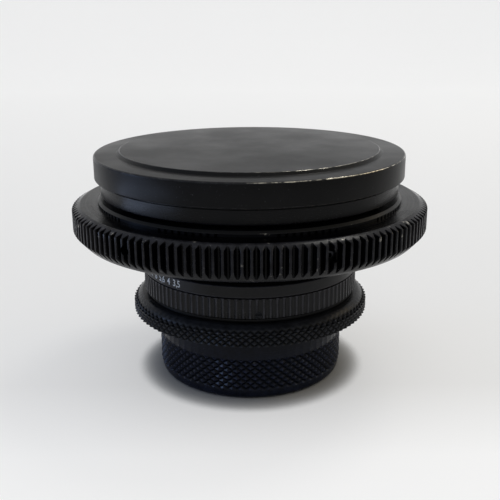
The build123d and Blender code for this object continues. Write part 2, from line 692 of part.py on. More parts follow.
def make_optical_barrel():
    """Sliding barrel: inner tube with the lens seats, web, and the sleeve that the helicoid drives."""
    front_ring_z = FRONT_GLASS.ring_bottom(FRONT_RING[0]) - THREAD_RELIEF
    body = turned(
        (TUBE_BORE_R, TUBE_END_Z),
        (TUBE_R, TUBE_END_Z),
        (TUBE_R, WEB_Z),
        (SLEEVE_BORE_R, WEB_Z),
        (SLEEVE_BORE_R, SLEEVE_END_Z),
        (SLEEVE_R, SLEEVE_END_Z),
        (SLEEVE_R, SLEEVE_TOP_Z),
        (FRONT_THREAD_R, SLEEVE_TOP_Z),
        (FRONT_THREAD_R, front_ring_z),
        (FRONT_GLASS.edge_r + CLEARANCE, front_ring_z),
        (FRONT_GLASS.edge_r + CLEARANCE, FRONT_GLASS.seat_top(FRONT_WELL_R)),
        (FRONT_WELL_R, FRONT_GLASS.seat_top(FRONT_WELL_R)),
        (SECOND_GLASS.edge_r + CLEARANCE, FRONT_WELL_Z),
        (SECOND_GLASS.edge_r + CLEARANCE, SECOND_GLASS.seat_top(SECOND_SEAT_BORE_R)),
        (SECOND_SEAT_BORE_R, SECOND_GLASS.seat_top(SECOND_SEAT_BORE_R)),
        (SECOND_SEAT_BORE_R, THIRD_GLASS.seat_top(THIRD_SEAT_BORE_R)),
        (THIRD_SEAT_BORE_R, THIRD_GLASS.seat_top(THIRD_SEAT_BORE_R)),
        (THIRD_SEAT_BORE_R, IRIS_PLATE_Z[1]),
        (TUBE_BORE_R, IRIS_PLATE_Z[1]),
    )
    pin_top = DRIVE_Z + DRIVE_PIN_R + CLEARANCE
    body -= drive_sector(TUBE_BORE_R - 1, TUBE_R + 1, (TUBE_END_Z - 1, pin_top), WINDOW_MARGIN_PIN)
    slot_r = (KEY_R[0] - 2 * PIN_PLAY, TUBE_R + 1)
    slot_z = (KEY_Z[0] - FOCUS_TRAVEL - KEYWAY_PLAY, KEY_Z[1] + KEYWAY_PLAY)
    keyway = Pos(sum(slot_r) / 2, 0, sum(slot_z) / 2)
    keyway *= Box(slot_r[1] - slot_r[0], KEY_WIDTH + 2 * CLEARANCE, slot_z[1] - slot_z[0])
    for azimuth in KEY_AZIMUTHS:
        body -= place(azimuth) * keyway
    return body


def make_front_barrel():
    """Front ring: 95 mm band for clamp-on accessories, and the filter thread inside."""
    return turned(
        (SLEEVE_R + CLEARANCE, FRONT_Z[0]),
        (FRONT_R - FRONT_CHAMFER, FRONT_Z[0]),
        (FRONT_R, FRONT_Z[0] + FRONT_CHAMFER),
        (FRONT_R, CAP_SEAT_Z),
        (CAP_SEAT_R, CAP_SEAT_Z),
        (CAP_SEAT_R, FRONT_Z[1] - FRONT_CHAMFER),
        (CAP_SEAT_R - FRONT_CHAMFER, FRONT_Z[1]),
        (FILTER_R, FRONT_Z[1]),
        (FILTER_R, TRIM_Z[1]),
        (TRIM_SEAT_R, TRIM_Z[1]),
        (TRIM_SEAT_R, TRIM_Z[0]),
        (SLEEVE_R + CLEARANCE, TRIM_Z[0]),
    )


def make_trim_ring():
    """Bare ring around the front glass, stepped like a light baffle."""
    outer_r = TRIM_SEAT_R - CLEARANCE
    step_r, step_z = TRIM_STEP
    points = [(TRIM_BORE_R, TRIM_Z[0]), (outer_r, TRIM_Z[0]), (outer_r, TRIM_Z[1])]
    for i in range(TRIM_STEPS):
        edge_r = TRIM_FIRST_STEP_R - i * step_r
        points.append((edge_r, TRIM_Z[1] - i * step_z))
        points.append((edge_r - TRIM_STEP_SLOPE, TRIM_Z[1] - (i + 1) * step_z))
    points.append((TRIM_BORE_R, TRIM_Z[1] - TRIM_STEPS * step_z))
    return turned(*points)


def make_front_cap():
    """Slip-on cap with a raised disc on its top."""
    body = turned(
        (0, FRONT_CAP_TOP_Z),
        (DISC_TOP_R, FRONT_CAP_TOP_Z),
        (DISC_FOOT_R, FRONT_CAP_Z[1]),
        (FRONT_CAP_R, FRONT_CAP_Z[1]),
        (FRONT_CAP_R, FRONT_CAP_Z[0]),
        (LINER_R[1], FRONT_CAP_Z[0]),
        (LINER_R[1], ROOF_Z),
        (ROOF_RECESS_R, ROOF_Z),
        (ROOF_RECESS_R, ROOF_RECESS_Z),
        (0, ROOF_RECESS_Z),
    )
    disc_edges = circles_of(body, DISC_TOP_R) + circles_of(body, DISC_FOOT_R)
    body = fillet(disc_edges, DISC_FILLET)
    return fillet(circles_of(body, FRONT_CAP_R)[-1], FRONT_CAP_EDGE)


def blade_azimuth(index):
    """Azimuth of a blade's pivot; the drive fork comes between two cam slots."""
    return BLADE_FIRST_AZIMUTH + index * 360 / BLADE_COUNT


def lever_pin(turn):
    """Centre of blade 0's drive pin, on the +X side, after the blade has turned."""
    angle = math.radians(-90 - LEVER_HALF_SWING + turn)
    return (PIVOT_R + LEVER * math.cos(angle), LEVER * math.sin(angle))


def make_blade(index):
    """Crescent blade with an ear, a pivot pin above and a drive pin below."""
    z = BLADE_FIRST_Z + index * BLADE_PITCH
    span = (90 + BLADE_SPAN[0], 90 + BLADE_SPAN[1])
    blade = arc_block(BLADE_INNER_R, BLADE_OUTER_R, (z, z + BLADE_THICK), span)
    pin = lever_pin(0)
    ear = Pos(PIVOT_R, 0) * Circle(EAR_R)
    lever_end = Pos(*pin) * Circle(EAR_R)
    neck_end = Rot(0, 0, NECK_AT[1]) * Pos(NECK_AT[0], 0) * Circle(NECK_R)
    for end in (lever_end, neck_end):
        blade += Pos(0, 0, z) * extrude(make_hull(ear.edges() + end.edges()), BLADE_THICK)
    blade += rod(BLADE_PIN_R, (z, BLADE_PIN_TOP_Z), (PIVOT_R, 0))
    blade += rod(BLADE_PIN_R, (BLADE_PIN_FOOT_Z, z + BLADE_THICK), pin)
    return place(blade_azimuth(index)) * blade


def make_iris_plate():
    """Ring above the blades with one pivot hole for each."""
    plate = tube(TUBE_BORE_R - CLEARANCE, IRIS_PLATE_BORE_R, IRIS_PLATE_Z)
    for i in range(BLADE_COUNT):
        pivot = point_at(PIVOT_R, blade_azimuth(i))
        plate -= rod(BLADE_PIN_R + BLADE_PIN_PLAY, (IRIS_PLATE_Z[0] - 1, IRIS_PLATE_Z[1] + 1), pivot)
    return plate


def make_cam_ring():
    """Ring below the blades: one cam slot for each drive pin, and the fork for the drive screw."""
    ring = tube(CAM_R[1], CAM_R[0], CAM_Z)
    path = []
    for i in range(CAM_PATH_STEPS + 1):
        share = i / CAM_PATH_STEPS
        x, y = lever_pin(BLADE_TURN * share)
        back = math.radians(-APERTURE_TURN * share)
        path.append((x * math.cos(back) - y * math.sin(back), x * math.sin(back) + y * math.cos(back)))
    half = BLADE_PIN_R + BLADE_PIN_PLAY
    start_dir = Vector(path[0][0] - path[1][0], path[0][1] - path[1][1]).normalized()
    end_dir = Vector(path[-1][0] - path[-2][0], path[-1][1] - path[-2][1]).normalized()
    inner = Spline([(x * (1 - half / math.hypot(x, y)), y * (1 - half / math.hypot(x, y))) for x, y in path])
    outer = Spline([(x * (1 + half / math.hypot(x, y)), y * (1 + half / math.hypot(x, y))) for x, y in path])
    start_cap = ThreePointArc(inner @ 0, Vector(*path[0]) + start_dir * half, outer @ 0)
    end_cap = ThreePointArc(inner @ 1, Vector(*path[-1]) + end_dir * half, outer @ 1)
    slot = extrude(make_face(inner + start_cap + outer + end_cap), CAM_Z[1] - CAM_Z[0] + 2)
    for i in range(BLADE_COUNT):
        ring -= place(blade_azimuth(i)) * Pos(0, 0, CAM_Z[0] - 1) * slot
    return ring + make_fork() - make_fork_gap()


def make_fork():
    """Tab below the cam ring that reaches down beside the drive screw on both sides."""
    width = 2 * (DRIVE_PIN_R + CLEARANCE + FORK_PRONG)
    z = (FORK_BOTTOM_Z, CAM_Z[0] + 0.1)
    tab = Pos(sum(FORK_R) / 2, 0, sum(z) / 2) * Box(FORK_R[1] - FORK_R[0], width, z[1] - z[0])
    return place(DRIVE_AZIMUTH) * tab


def make_fork_gap():
    """Gap of the fork, long enough for the whole focus travel."""
    half = DRIVE_PIN_R + CLEARANCE
    z = (FORK_BOTTOM_Z - 1, DRIVE_Z + half)
    gap = Pos(sum(FORK_R) / 2, 0, sum(z) / 2) * Box(FORK_R[1] - FORK_R[0] + 4, 2 * half, z[1] - z[0])
    return place(DRIVE_AZIMUTH) * gap


def make_rear_cell():
    """Cell of the rear group, screwed into the end of the optical barrel."""
    rear_bore_r = REAR_GLASS.edge_r + CLEARANCE
    fourth_bore_r = FOURTH_GLASS.edge_r + CLEARANCE
    fifth_bore_r = FIFTH_GLASS.edge_r + CLEARANCE
    body = turned(
        (rear_bore_r, CELL_END_Z),
        (CELL_R, CELL_END_Z),
        (CELL_R, CELL_FLANGE_Z[0]),
        (TUBE_BORE_R - CLEARANCE, CELL_FLANGE_Z[0]),
        (TUBE_BORE_R - CLEARANCE, CELL_FLANGE_Z[1]),
        (CELL_NECK_R, CELL_FLANGE_Z[1]),
        (CELL_NECK_R, CELL_TOP_Z),
        (fourth_bore_r, CELL_TOP_Z),
        (fourth_bore_r, FOURTH_GLASS.seat_top(fifth_bore_r)),
        (fifth_bore_r, FOURTH_GLASS.seat_top(fifth_bore_r)),
        (fifth_bore_r, FIFTH_GLASS.seat_top(CELL_BAFFLE_R)),
        (CELL_BAFFLE_R, FIFTH_GLASS.seat_top(CELL_BAFFLE_R)),
        (CELL_BAFFLE_R, REAR_GLASS.ring_bottom(CELL_BAFFLE_R)),
        (rear_bore_r, REAR_GLASS.ring_bottom(CELL_BAFFLE_R)),
    )
    return body - drive_sector(CELL_R + 1, TUBE_R, WINDOW_Z, WINDOW_MARGIN_FORK)


def make_rear_ring():
    """Ring that holds the rear element from behind."""
    top = REAR_GLASS.seat_top(REAR_RING[0])
    return tube(REAR_GLASS.edge_r, REAR_RING[0], (top - REAR_RING[1], top))


def make_iris_keeper():
    """Thin ring under the cam ring, open where the fork swings."""
    keeper = tube(TUBE_BORE_R - CLEARANCE, KEEPER_PLATE_BORE_R, KEEPER_PLATE_Z)
    return keeper - drive_sector(KEEPER_PLATE_BORE_R - 1, TUBE_R, WINDOW_Z, WINDOW_MARGIN_FORK)


# Outside pieces
write("rear_cap", make_rear_cap(), BLACK)
write("rear_mount", make_rear_mount(), STEEL)
write("mount_screws", together([make_mount_screw(a) for a in mount_screw_azimuths()]), STEEL)
write("lock_ring", make_lock_ring(), BLACK)
write("breech_lug_plate", make_lug_plate(), STEEL)
write("breech_lug_screws", together([make_lug_screw(a) for a in lug_screw_azimuths()]), STEEL)
write("lock_ring_stop_pin", make_lock_pin(), STEEL)
write("fixed_barrel", make_fixed_barrel(), BLACK)
write("guide_keys", together(make_guide_keys()), BRASS)
write("focus_stop_pin", make_focus_pin(), STEEL)
write("focus_keeper_ring", tube(KEEPER_R, UPPER_R + CLEARANCE, KEEPER_Z), BRASS)
write("aperture_ring", make_aperture_ring(), BLACK)
write("aperture_drive_screw", make_drive_screw(), STEEL)
write("focus_ring", make_focus_ring(), BLACK)
write("focus_helicoid", tube(FOCUS_BORE_R - 0.02, HELICOID_BORE_R, HELICOID_Z), BRASS)
write("focus_gear", make_gear(), BLACK)
write("gear_set_screws", together([make_set_screw(a) for a in set_screw_azimuths()]), STEEL)
write("front_barrel", make_front_barrel(), BLACK)
write("front_trim_ring", make_trim_ring(), BLACK)
write("front_cap", make_front_cap(), BLACK)
write("front_cap_liner", tube(LINER_R[1], LINER_R[0], LINER_Z), FELT)

# Optical block: barrel, the glass and the rings that hold it
write("optical_barrel", make_optical_barrel(), BLACK)
write("front_element", glass(FRONT_GLASS), GLASS)
write("front_retaining_ring", retaining_ring(FRONT_GLASS, FRONT_RING, FRONT_THREAD_R - CLEARANCE), BLACK)
write("second_element", glass(SECOND_GLASS), GLASS)
write("second_retaining_ring", retaining_ring(SECOND_GLASS, SECOND_RING, SECOND_GLASS.edge_r), BLACK)
write("third_element", glass(THIRD_GLASS), GLASS)
write("third_retaining_ring", retaining_ring(THIRD_GLASS, THIRD_RING, THIRD_GLASS.edge_r), BLACK)
write("rear_cell", make_rear_cell(), BLACK)
write("fourth_element", glass(FOURTH_GLASS), GLASS)
write("fifth_element", glass(FIFTH_GLASS), GLASS)
write("fourth_retaining_ring", retaining_ring(FOURTH_GLASS, FOURTH_RING, FOURTH_GLASS.edge_r), BLACK)
write("rear_element", glass(REAR_GLASS), GLASS)
write("rear_retaining_ring", make_rear_ring(), BLACK)

# Iris
write("iris_pivot_plate", make_iris_plate(), BRASS)
write("iris_cam_ring", make_cam_ring(), BRASS)
write("iris_keeper_ring", make_iris_keeper(), BRASS)
for blade_index in range(BLADE_COUNT):
    write(f"iris_blade_{blade_index + 1}", make_blade(blade_index), STEEL)
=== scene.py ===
# %% [markdown]
# # A cinema prime lens in its real finishes
#
# The CAD model gives every piece its place and size. This lesson dresses it: the rings that show most
# are modelled again with the detail that light catches, such as knurls, gear teeth and worn edges,
# and every other piece keeps its CAD shape and gets a finish made of nodes.
# Everything is in metres here, and sizes are written in millimetres and multiplied by MM.

# %% Load the frame
import json
import math

import bmesh
import bpy
from mathutils import Matrix


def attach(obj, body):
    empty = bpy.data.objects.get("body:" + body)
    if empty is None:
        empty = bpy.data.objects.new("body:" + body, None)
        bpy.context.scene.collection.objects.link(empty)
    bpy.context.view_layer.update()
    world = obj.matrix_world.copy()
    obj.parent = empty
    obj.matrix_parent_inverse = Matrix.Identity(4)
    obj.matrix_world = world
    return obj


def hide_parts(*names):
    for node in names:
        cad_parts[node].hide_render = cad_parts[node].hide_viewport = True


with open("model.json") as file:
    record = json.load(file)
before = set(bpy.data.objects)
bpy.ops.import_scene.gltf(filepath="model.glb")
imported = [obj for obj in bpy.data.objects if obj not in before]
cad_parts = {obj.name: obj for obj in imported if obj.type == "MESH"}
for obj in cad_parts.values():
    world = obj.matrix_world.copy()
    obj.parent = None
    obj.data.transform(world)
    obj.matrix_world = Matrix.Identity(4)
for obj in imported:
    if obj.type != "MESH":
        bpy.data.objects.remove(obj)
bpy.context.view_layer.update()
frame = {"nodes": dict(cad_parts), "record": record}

MM = 0.001

# %% [markdown]
# ## Colour and nodes
#
# A hex colour is written for a screen, and Blender calculates in linear light, so one function turns
# one into the other. The others add a node with its settings and its links in one go.

# %% Small tools
def linear(hex_colour):
    """A screen colour such as #1A1A1C as linear light."""
    shades = [int(hex_colour[i:i + 2], 16) / 255 for i in (1, 3, 5)]
    return tuple(s / 12.92 if s <= 0.04045 else ((s + 0.055) / 1.055) ** 2.4 for s in shades) + (1.0,)


def fill(tree, node, inputs):
    """Set a node's inputs to plain values or link other nodes' outputs to them."""
    for key, value in inputs.items():
        if isinstance(value, bpy.types.NodeSocket):
            tree.links.new(value, node.inputs[key])
        else:
            node.inputs[key].default_value = value


def add_node(tree, kind, inputs=None, **settings):
    """Add a node with its settings and its inputs."""
    node = tree.nodes.new(kind)
    for key, value in settings.items():
        setattr(node, key, value)
    fill(tree, node, inputs or {})
    return node


def maths(tree, operation, *terms, clamp=False):
    """Result of one calculation with values or outputs."""
    node = add_node(tree, "ShaderNodeMath", dict(enumerate(terms)), operation=operation, use_clamp=clamp)
    return node.outputs[0]


def in_scene(name, data):
    """A new object in the scene that shows the data."""
    item = bpy.data.objects.new(name, data)
    bpy.context.scene.collection.objects.link(item)
    return item


print("#808080 in linear light is", round(linear("#808080")[0], 3))

# %% [markdown]
# ## Rings as rows of points
#
# Nearly every piece of a lens is a body of revolution. A lathe outline could be spun with the Screw
# modifier, but teeth and knurls need points that depend on the angle too. So a ring is a grid: each row
# goes round the axis, each row joins the next one, and the last row joins the first, which closes the
# section. A point is (azimuth, radius, height, wear). Azimuth 0 faces the front and grows to the right.
# Wear is 1 on an edge that hands and bags rub, and the finishes read it as an attribute.

# %% The grid builder
WELD = 0.0015 * MM
ROUND_STEPS = 240
ROUND_STATIONS = [i * 360 / ROUND_STEPS for i in range(ROUND_STEPS + 1)]
SHARP_ANGLE = math.radians(32)


def plain_row(stations, r, z, wear=0.0):
    """A row at one radius and one height, with a point at each azimuth of the stations."""
    return [(azimuth, r, z, wear) for azimuth in stations]


def round_row(r, z, wear=0.0):
    """One circle as a row of the grid."""
    return plain_row(ROUND_STATIONS, r, z, wear)


def grid_shape(rows, leans=None):
    """Join rows of (azimuth, radius, height, wear); leans says which way each band's quads are split."""
    shape = bmesh.new()
    worn = shape.verts.layers.float.new("wear")
    grid = []
    for row in rows:
        line = []
        for azimuth, radius, height, wear in row:
            angle = math.radians(azimuth)
            place = (radius * MM * math.sin(angle), -radius * MM * math.cos(angle), height * MM)
            vertex = shape.verts.new(place)
            vertex[worn] = wear
            line.append(vertex)
        grid.append(line)
    for i, line in enumerate(grid):
        above = grid[(i + 1) % len(grid)]
        lean = leans[i] if leans else 0
        for s in range(len(line) - 1):
            a, b, c, d = line[s], line[s + 1], above[s + 1], above[s]
            splits = {0: ((a, b, c, d),), 1: ((a, b, c), (a, c, d)), -1: ((a, b, d), (b, c, d))}
            for corners in splits[lean if s < (len(line) - 1) / 2 else -lean]:
                shape.faces.new(corners)
    bmesh.ops.remove_doubles(shape, verts=shape.verts, dist=WELD)
    return shape


def as_object(name, shape):
    """Turn a bmesh into an object in the scene."""
    mesh = bpy.data.meshes.new(name)
    shape.to_mesh(mesh)
    shape.free()
    return in_scene(name, mesh)


def close_and_shade(piece):
    """Weld seams, turn every face outwards and keep only real corners sharp."""
    shape = bmesh.new()
    shape.from_mesh(piece.data)
    bmesh.ops.remove_doubles(shape, verts=shape.verts, dist=WELD)
    loose = [edge for edge in shape.edges if not edge.link_faces]
    bmesh.ops.delete(shape, geom=loose, context="EDGES")
    bmesh.ops.recalc_face_normals(shape, faces=shape.faces)
    open_edges = sum(1 for edge in shape.edges if len(edge.link_faces) != 2)
    shape.to_mesh(piece.data)
    shape.free()
    piece.data.shade_smooth()
    piece.data.set_sharp_from_angle(angle=SHARP_ANGLE)
    print(piece.name, len(piece.data.polygons), "faces,", open_edges, "open edges")
    return piece


# %% [markdown]
# A turned corner is never a knife edge: the lathe leaves a small radius, and that radius is the line of
# light by which the eye reads the shape. An outline is therefore a list of (radius, height, rounding)
# corners, and rounded corners are replaced by a short arc. The middle of the arc is marked as worn,
# except in a hollow corner, which nothing rubs. Complex numbers, radius + height i, keep the sums short.

# %% Outlines with rounded corners
ARC_WEAR = (0.0, 0.75, 1.0, 0.75, 0.0)


def softened(corners):
    """The outline with each rounding as an arc, as (radius, height, wear) points."""
    outline = []
    points = [complex(r, z) for r, z, _ in corners]
    turning = sum((a.conjugate() * b).imag for a, b in zip(points, points[1:]))
    for i, (here, (_, _, rounding)) in enumerate(zip(points, corners)):
        if rounding == 0:
            outline.append((here.real, here.imag, 0.0))
            continue
        back = points[i - 1] - here
        ahead = points[(i + 1) % len(points)] - here
        back, ahead = back / abs(back), ahead / abs(ahead)
        corner = back.conjugate() * ahead
        half = math.acos(corner.real) / 2
        centre = here + (back + ahead) * (rounding / math.sin(half) / abs(back + ahead))
        first, last = [here + side * (rounding / math.tan(half)) - centre for side in (back, ahead)]
        sweep = math.pi - 2 * half
        hollow = corner.imag * turning > 0
        for k, wear in enumerate(ARC_WEAR):
            share = k / (len(ARC_WEAR) - 1)
            near = math.sin((1 - share) * sweep) / math.sin(sweep)
            far = math.sin(share * sweep) / math.sin(sweep)
            point = centre + near * first + far * last
            outline.append((point.real, point.imag, 0.0 if hollow else wear))
    return outline


print("a rounded corner becomes", len(ARC_WEAR), "points")

# %% [markdown]
# ## One pitch, many times
#
# A gear of 140 teeth, 108 ribs, two knurls and nine groups of notches all repeat round the axis. Each
# is modelled as one narrow slice of the whole ring, and a Geometry Nodes tree sets copies of the slice
# round the axis, welds them and gives them their finish. Changing a count or a pitch is one input.

# %% The tree that repeats a slice
def repeat_tree():
    """Copies of the incoming slice round the axis, welded into one ring."""
    tree = bpy.data.node_groups.new("repeat_round_the_axis", "GeometryNodeTree")
    sockets = {
        "Slice": "Geometry", "Count": "Int", "First azimuth": "Float", "Pitch": "Float", "Finish": "Material"}
    for name, kind in sockets.items():
        tree.interface.new_socket(name, in_out="INPUT", socket_type="NodeSocket" + kind)
    tree.interface.new_socket("Ring", in_out="OUTPUT", socket_type="NodeSocketGeometry")
    given = add_node(tree, "NodeGroupInput").outputs
    number = add_node(tree, "GeometryNodeInputIndex").outputs["Index"]
    points = add_node(tree, "GeometryNodePoints", {"Count": given["Count"]})
    degrees = maths(tree, "MULTIPLY_ADD", number, given["Pitch"], given["First azimuth"])
    euler = add_node(tree, "ShaderNodeCombineXYZ", {"Z": maths(tree, "RADIANS", degrees)})
    turn = add_node(tree, "FunctionNodeEulerToRotation", {"Euler": euler.outputs[0]})
    setting = {"Points": points.outputs[0], "Instance": given["Slice"], "Rotation": turn.outputs[0]}
    copies = add_node(tree, "GeometryNodeInstanceOnPoints", setting)
    real = add_node(tree, "GeometryNodeRealizeInstances", {"Geometry": copies.outputs[0]})
    welded = add_node(tree, "GeometryNodeMergeByDistance", {"Geometry": real.outputs[0], "Distance": WELD})
    look = {"Geometry": welded.outputs[0], "Material": given["Finish"]}
    finish = add_node(tree, "GeometryNodeSetMaterial", look)
    add_node(tree, "NodeGroupOutput", {"Ring": finish.outputs[0]})
    return tree


REPEAT = repeat_tree()


def apply_modifiers(piece):
    """Keep what the modifiers make as a plain mesh."""
    evaluated = piece.evaluated_get(bpy.context.evaluated_depsgraph_get())
    piece.data = bpy.data.meshes.new_from_object(evaluated)
    piece.data.name = piece.name
    piece.modifiers.clear()
    return piece


def repeated(piece, count, first, pitch, finish):
    """Run the tree on a slice, with its inputs set by name."""
    values = {"Count": count, "First azimuth": first, "Pitch": pitch, "Finish": finish}
    modifier = piece.modifiers.new("repeat", "NODES")
    modifier.node_group = REPEAT
    for item in REPEAT.interface.items_tree:
        if item.in_out == "INPUT" and item.name in values:
            modifier[item.identifier] = values[item.name]
    return apply_modifiers(piece)


print("tree", REPEAT.name, "with", len(REPEAT.nodes), "nodes")

# %% [markdown]
# ## Finishes
#
# Most of the lens is aluminium that was turned or milled, blasted and black anodised. The oxide layer is
# a dyed ceramic: dark, without the mirror of bare metal, and a little rougher than paint. Three things
# make it look real. Its roughness wanders over a centimetre or two, where hands have polished it. Fine
# tool marks run round the axis. On edges the dye has worn thin, so they are greyer, and here and there
# the metal shows. The last one reads the wear attribute and breaks it up with noise.

# %% Patterns shared by the finishes
GRIME_MM = 14.0
BREAKUP_MM = 2.6


def noise(tree, size_mm, detail=3.0, rough=0.55):
    """Noise whose blobs are about size_mm wide, in the piece's own coordinates."""
    where = add_node(tree, "ShaderNodeTexCoord").outputs["Object"]
    look = {"Vector": where, "Scale": 1 / (size_mm * MM), "Detail": detail, "Roughness": rough}
    return add_node(tree, "ShaderNodeTexNoise", look).outputs["Fac"]


def tool_marks(tree, spacing_mm):
    """Lines that run round the axis: noise over radius and height only."""
    where = add_node(tree, "ShaderNodeTexCoord").outputs["Object"]
    parts = add_node(tree, "ShaderNodeSeparateXYZ", {"Vector": where}).outputs
    across = add_node(tree, "ShaderNodeCombineXYZ", {"X": parts["X"], "Y": parts["Y"]})
    radius = add_node(tree, "ShaderNodeVectorMath", {0: across.outputs[0]}, operation="LENGTH")
    section = add_node(tree, "ShaderNodeCombineXYZ", {"X": radius.outputs["Value"], "Y": parts["Z"]})
    look = {"Vector": section.outputs[0], "Scale": 1 / (spacing_mm * MM), "Detail": 1.0, "Roughness": 0.5}
    return add_node(tree, "ShaderNodeTexNoise", look, noise_dimensions="2D").outputs["Fac"]


def spread(tree, value, low, high, from_low=0.35, from_high=0.65):
    """Map a range of the value, as given the busy middle of a noise, to low and high."""
    ends = {"Value": value, "From Min": from_low, "From Max": from_high, "To Min": low, "To Max": high}
    return add_node(tree, "ShaderNodeMapRange", ends).outputs["Result"]


def times(tree, first, second):
    """Product of two values."""
    return maths(tree, "MULTIPLY", first, second)


def blend_colour(tree, share, first, second):
    """Colour between two, by share; each is a screen colour or an output."""
    ends = {key: linear(end) if isinstance(end, str) else end for key, end in ((6, first), (7, second))}
    return add_node(tree, "ShaderNodeMix", {"Factor": share, **ends}, data_type="RGBA").outputs[2]


def bump(tree, shader, height, depth_mm):
    """Tilt the surface by a height pattern of a real depth."""
    node = add_node(tree, "ShaderNodeBump", {"Height": height, "Distance": depth_mm * MM, "Strength": 1.0})
    fill(tree, shader, {"Normal": node.outputs["Normal"]})


def new_finish(name):
    """A material with its tree and its shader."""
    material = bpy.data.materials.new(name)
    material.use_nodes = True
    return material, material.node_tree, material.node_tree.nodes["Principled BSDF"]


# %% [markdown]
# Black anodising differs from ring to ring: the gear is milled and handled most, the aperture grip is a
# little greyer, the rear cap has a blue cast from its dye bath. One recipe makes them all from a row of
# values: the colours of the dye, of polished dye and of a rubbed edge, the roughness, the gloss, the
# spacing and the depth of the tool marks in millimetres, and the share of the edges that is bare.

# %% Black anodised aluminium
BARE_ALUMINIUM = "#A8A49B"
BARE_FADE = 0.08
EDGE_POLISH = 0.12
UNEVEN_MATT = 0.06
STREAK = 0.03
ANODISED = {
    "black_anodised_aluminium_turned": ("#060607", "#101114", "#1E1F23", 0.30, 0.10, 0.22, 0.004, 0.34),
    "black_anodised_aluminium_blasted": ("#040405", "#0E0F12", "#1A1B1F", 0.34, 0.09, 0.30, 0.003, 0.34),
    "black_anodised_aluminium_milled": ("#020203", "#09090B", "#343438", 0.23, 0.06, 0.31, 0.002, 0.38),
    "grey_black_anodised_aluminium_turned": ("#09090A", "#1E1E21", "#3A3A40", 0.34, 0.15, 0.25, 0.004, 0.30),
    "black_anodised_aluminium_knurled": ("#040506", "#0C0E12", "#2E3036", 0.34, 0.09, 0.30, 0.003, 0.29),
    "blue_black_anodised_aluminium_knurled": ("#03050A", "#080B13", "#23283A", 0.26, 0.09, 0.32, 0.003, 0.29),
}


def black_anodised(name, dye, polished, rubbed_to, roughness, gloss, marks_mm, marks_depth_mm, bare_share):
    """Anodised aluminium with tool marks, polished edges and a few bare spots on them."""
    material, tree, shader = new_finish(name)
    wear = add_node(tree, "ShaderNodeAttribute", attribute_name="wear").outputs["Fac"]
    grime = noise(tree, GRIME_MM)
    breakup = noise(tree, BREAKUP_MM, detail=5.0, rough=0.65)
    rubbed = times(tree, wear, spread(tree, breakup, 0.35, 1.0))
    bare = times(tree, wear, spread(tree, breakup, 0.0, 1.0, 1 - bare_share, 1 + BARE_FADE - bare_share))
    clean = blend_colour(tree, spread(tree, grime, 0.0, 0.45), dye, polished)
    edged = blend_colour(tree, rubbed, clean, rubbed_to)
    matt = spread(tree, grime, roughness - UNEVEN_MATT, roughness + UNEVEN_MATT)
    lines = tool_marks(tree, marks_mm)
    streaked = maths(tree, "ADD", matt, spread(tree, lines, -STREAK, STREAK))
    fill(tree, shader, {
        "Base Color": blend_colour(tree, bare, edged, BARE_ALUMINIUM),
        "Metallic": bare,
        "Roughness": maths(tree, "MULTIPLY_ADD", rubbed, -EDGE_POLISH, streaked),
        "Specular IOR Level": gloss,
    })
    bump(tree, shader, lines, marks_depth_mm)
    return material


anodised = [black_anodised(name, *look) for name, look in ANODISED.items()]
FRONT_BAND_FINISH, FOCUS_FINISH, GEAR_FINISH, APERTURE_FINISH, LOCK_FINISH, REAR_CAP_FINISH = anodised
print("anodised finishes", len(anodised))

# %% [markdown]
# The front cap is sheet-thick metal under sprayed satin paint. Paint is smoother than anodising in the
# small and less even in the large: it has a faint orange peel about a millimetre wide, cloudy patches
# that polish has left, dust, and a rim where it is chipped down to the metal.

# %% Sprayed paint
PEEL_MM, PEEL_DEPTH_MM = 0.7, 0.006
DUST_MM, DUST_LEVELS = 0.55, (0.70, 0.76)
CLOUD_MM, CLOUD_ROUGHNESS = 22.0, (0.28, 0.38)
CHIP_MM, CHIP_LEVELS = 2.2, (1.57, 1.65)
RIM_POLISH = 0.16
PAINT_GLOSS = 0.072


def satin_black_paint():
    """Sprayed satin paint with orange peel, dust and a chipped rim."""
    material, tree, shader = new_finish("satin_black_paint_sprayed")
    wear = add_node(tree, "ShaderNodeAttribute", attribute_name="wear").outputs["Fac"]
    cloud = noise(tree, CLOUD_MM, detail=4.0)
    breakup = noise(tree, CHIP_MM, detail=6.0, rough=0.7)
    dust = spread(tree, noise(tree, DUST_MM, detail=1.0), 0.0, 0.5, *DUST_LEVELS)
    chips = spread(tree, maths(tree, "ADD", breakup, wear), 0.0, 1.0, *CHIP_LEVELS)
    rubbed = times(tree, wear, spread(tree, breakup, 0.3, 1.0))
    clean = blend_colour(tree, spread(tree, cloud, 0.0, 1.0), "#0C0C0D", "#121213")
    dusty = blend_colour(tree, dust, clean, "#3A3A3C")
    edged = blend_colour(tree, rubbed, dusty, "#303032")
    fill(tree, shader, {
        "Base Color": blend_colour(tree, chips, edged, "#BDB8AB"),
        "Metallic": chips,
        "Roughness": maths(tree, "MULTIPLY_ADD", wear, -RIM_POLISH, spread(tree, cloud, *CLOUD_ROUGHNESS)),
        "Specular IOR Level": PAINT_GLOSS,
    })
    bump(tree, shader, noise(tree, PEEL_MM, detail=2.0), PEEL_DEPTH_MM)
    return material


CAP_FINISH = satin_black_paint()
print(CAP_FINISH.name)

# %% [markdown]
# Inside the barrel everything that light could strike is coated with flat black baffle paint: it is a
# porous, very rough coat with hardly any reflection of its own.

# %% Baffle paint
TOOTH_MM, TOOTH_DEPTH_MM = 0.35, 0.01


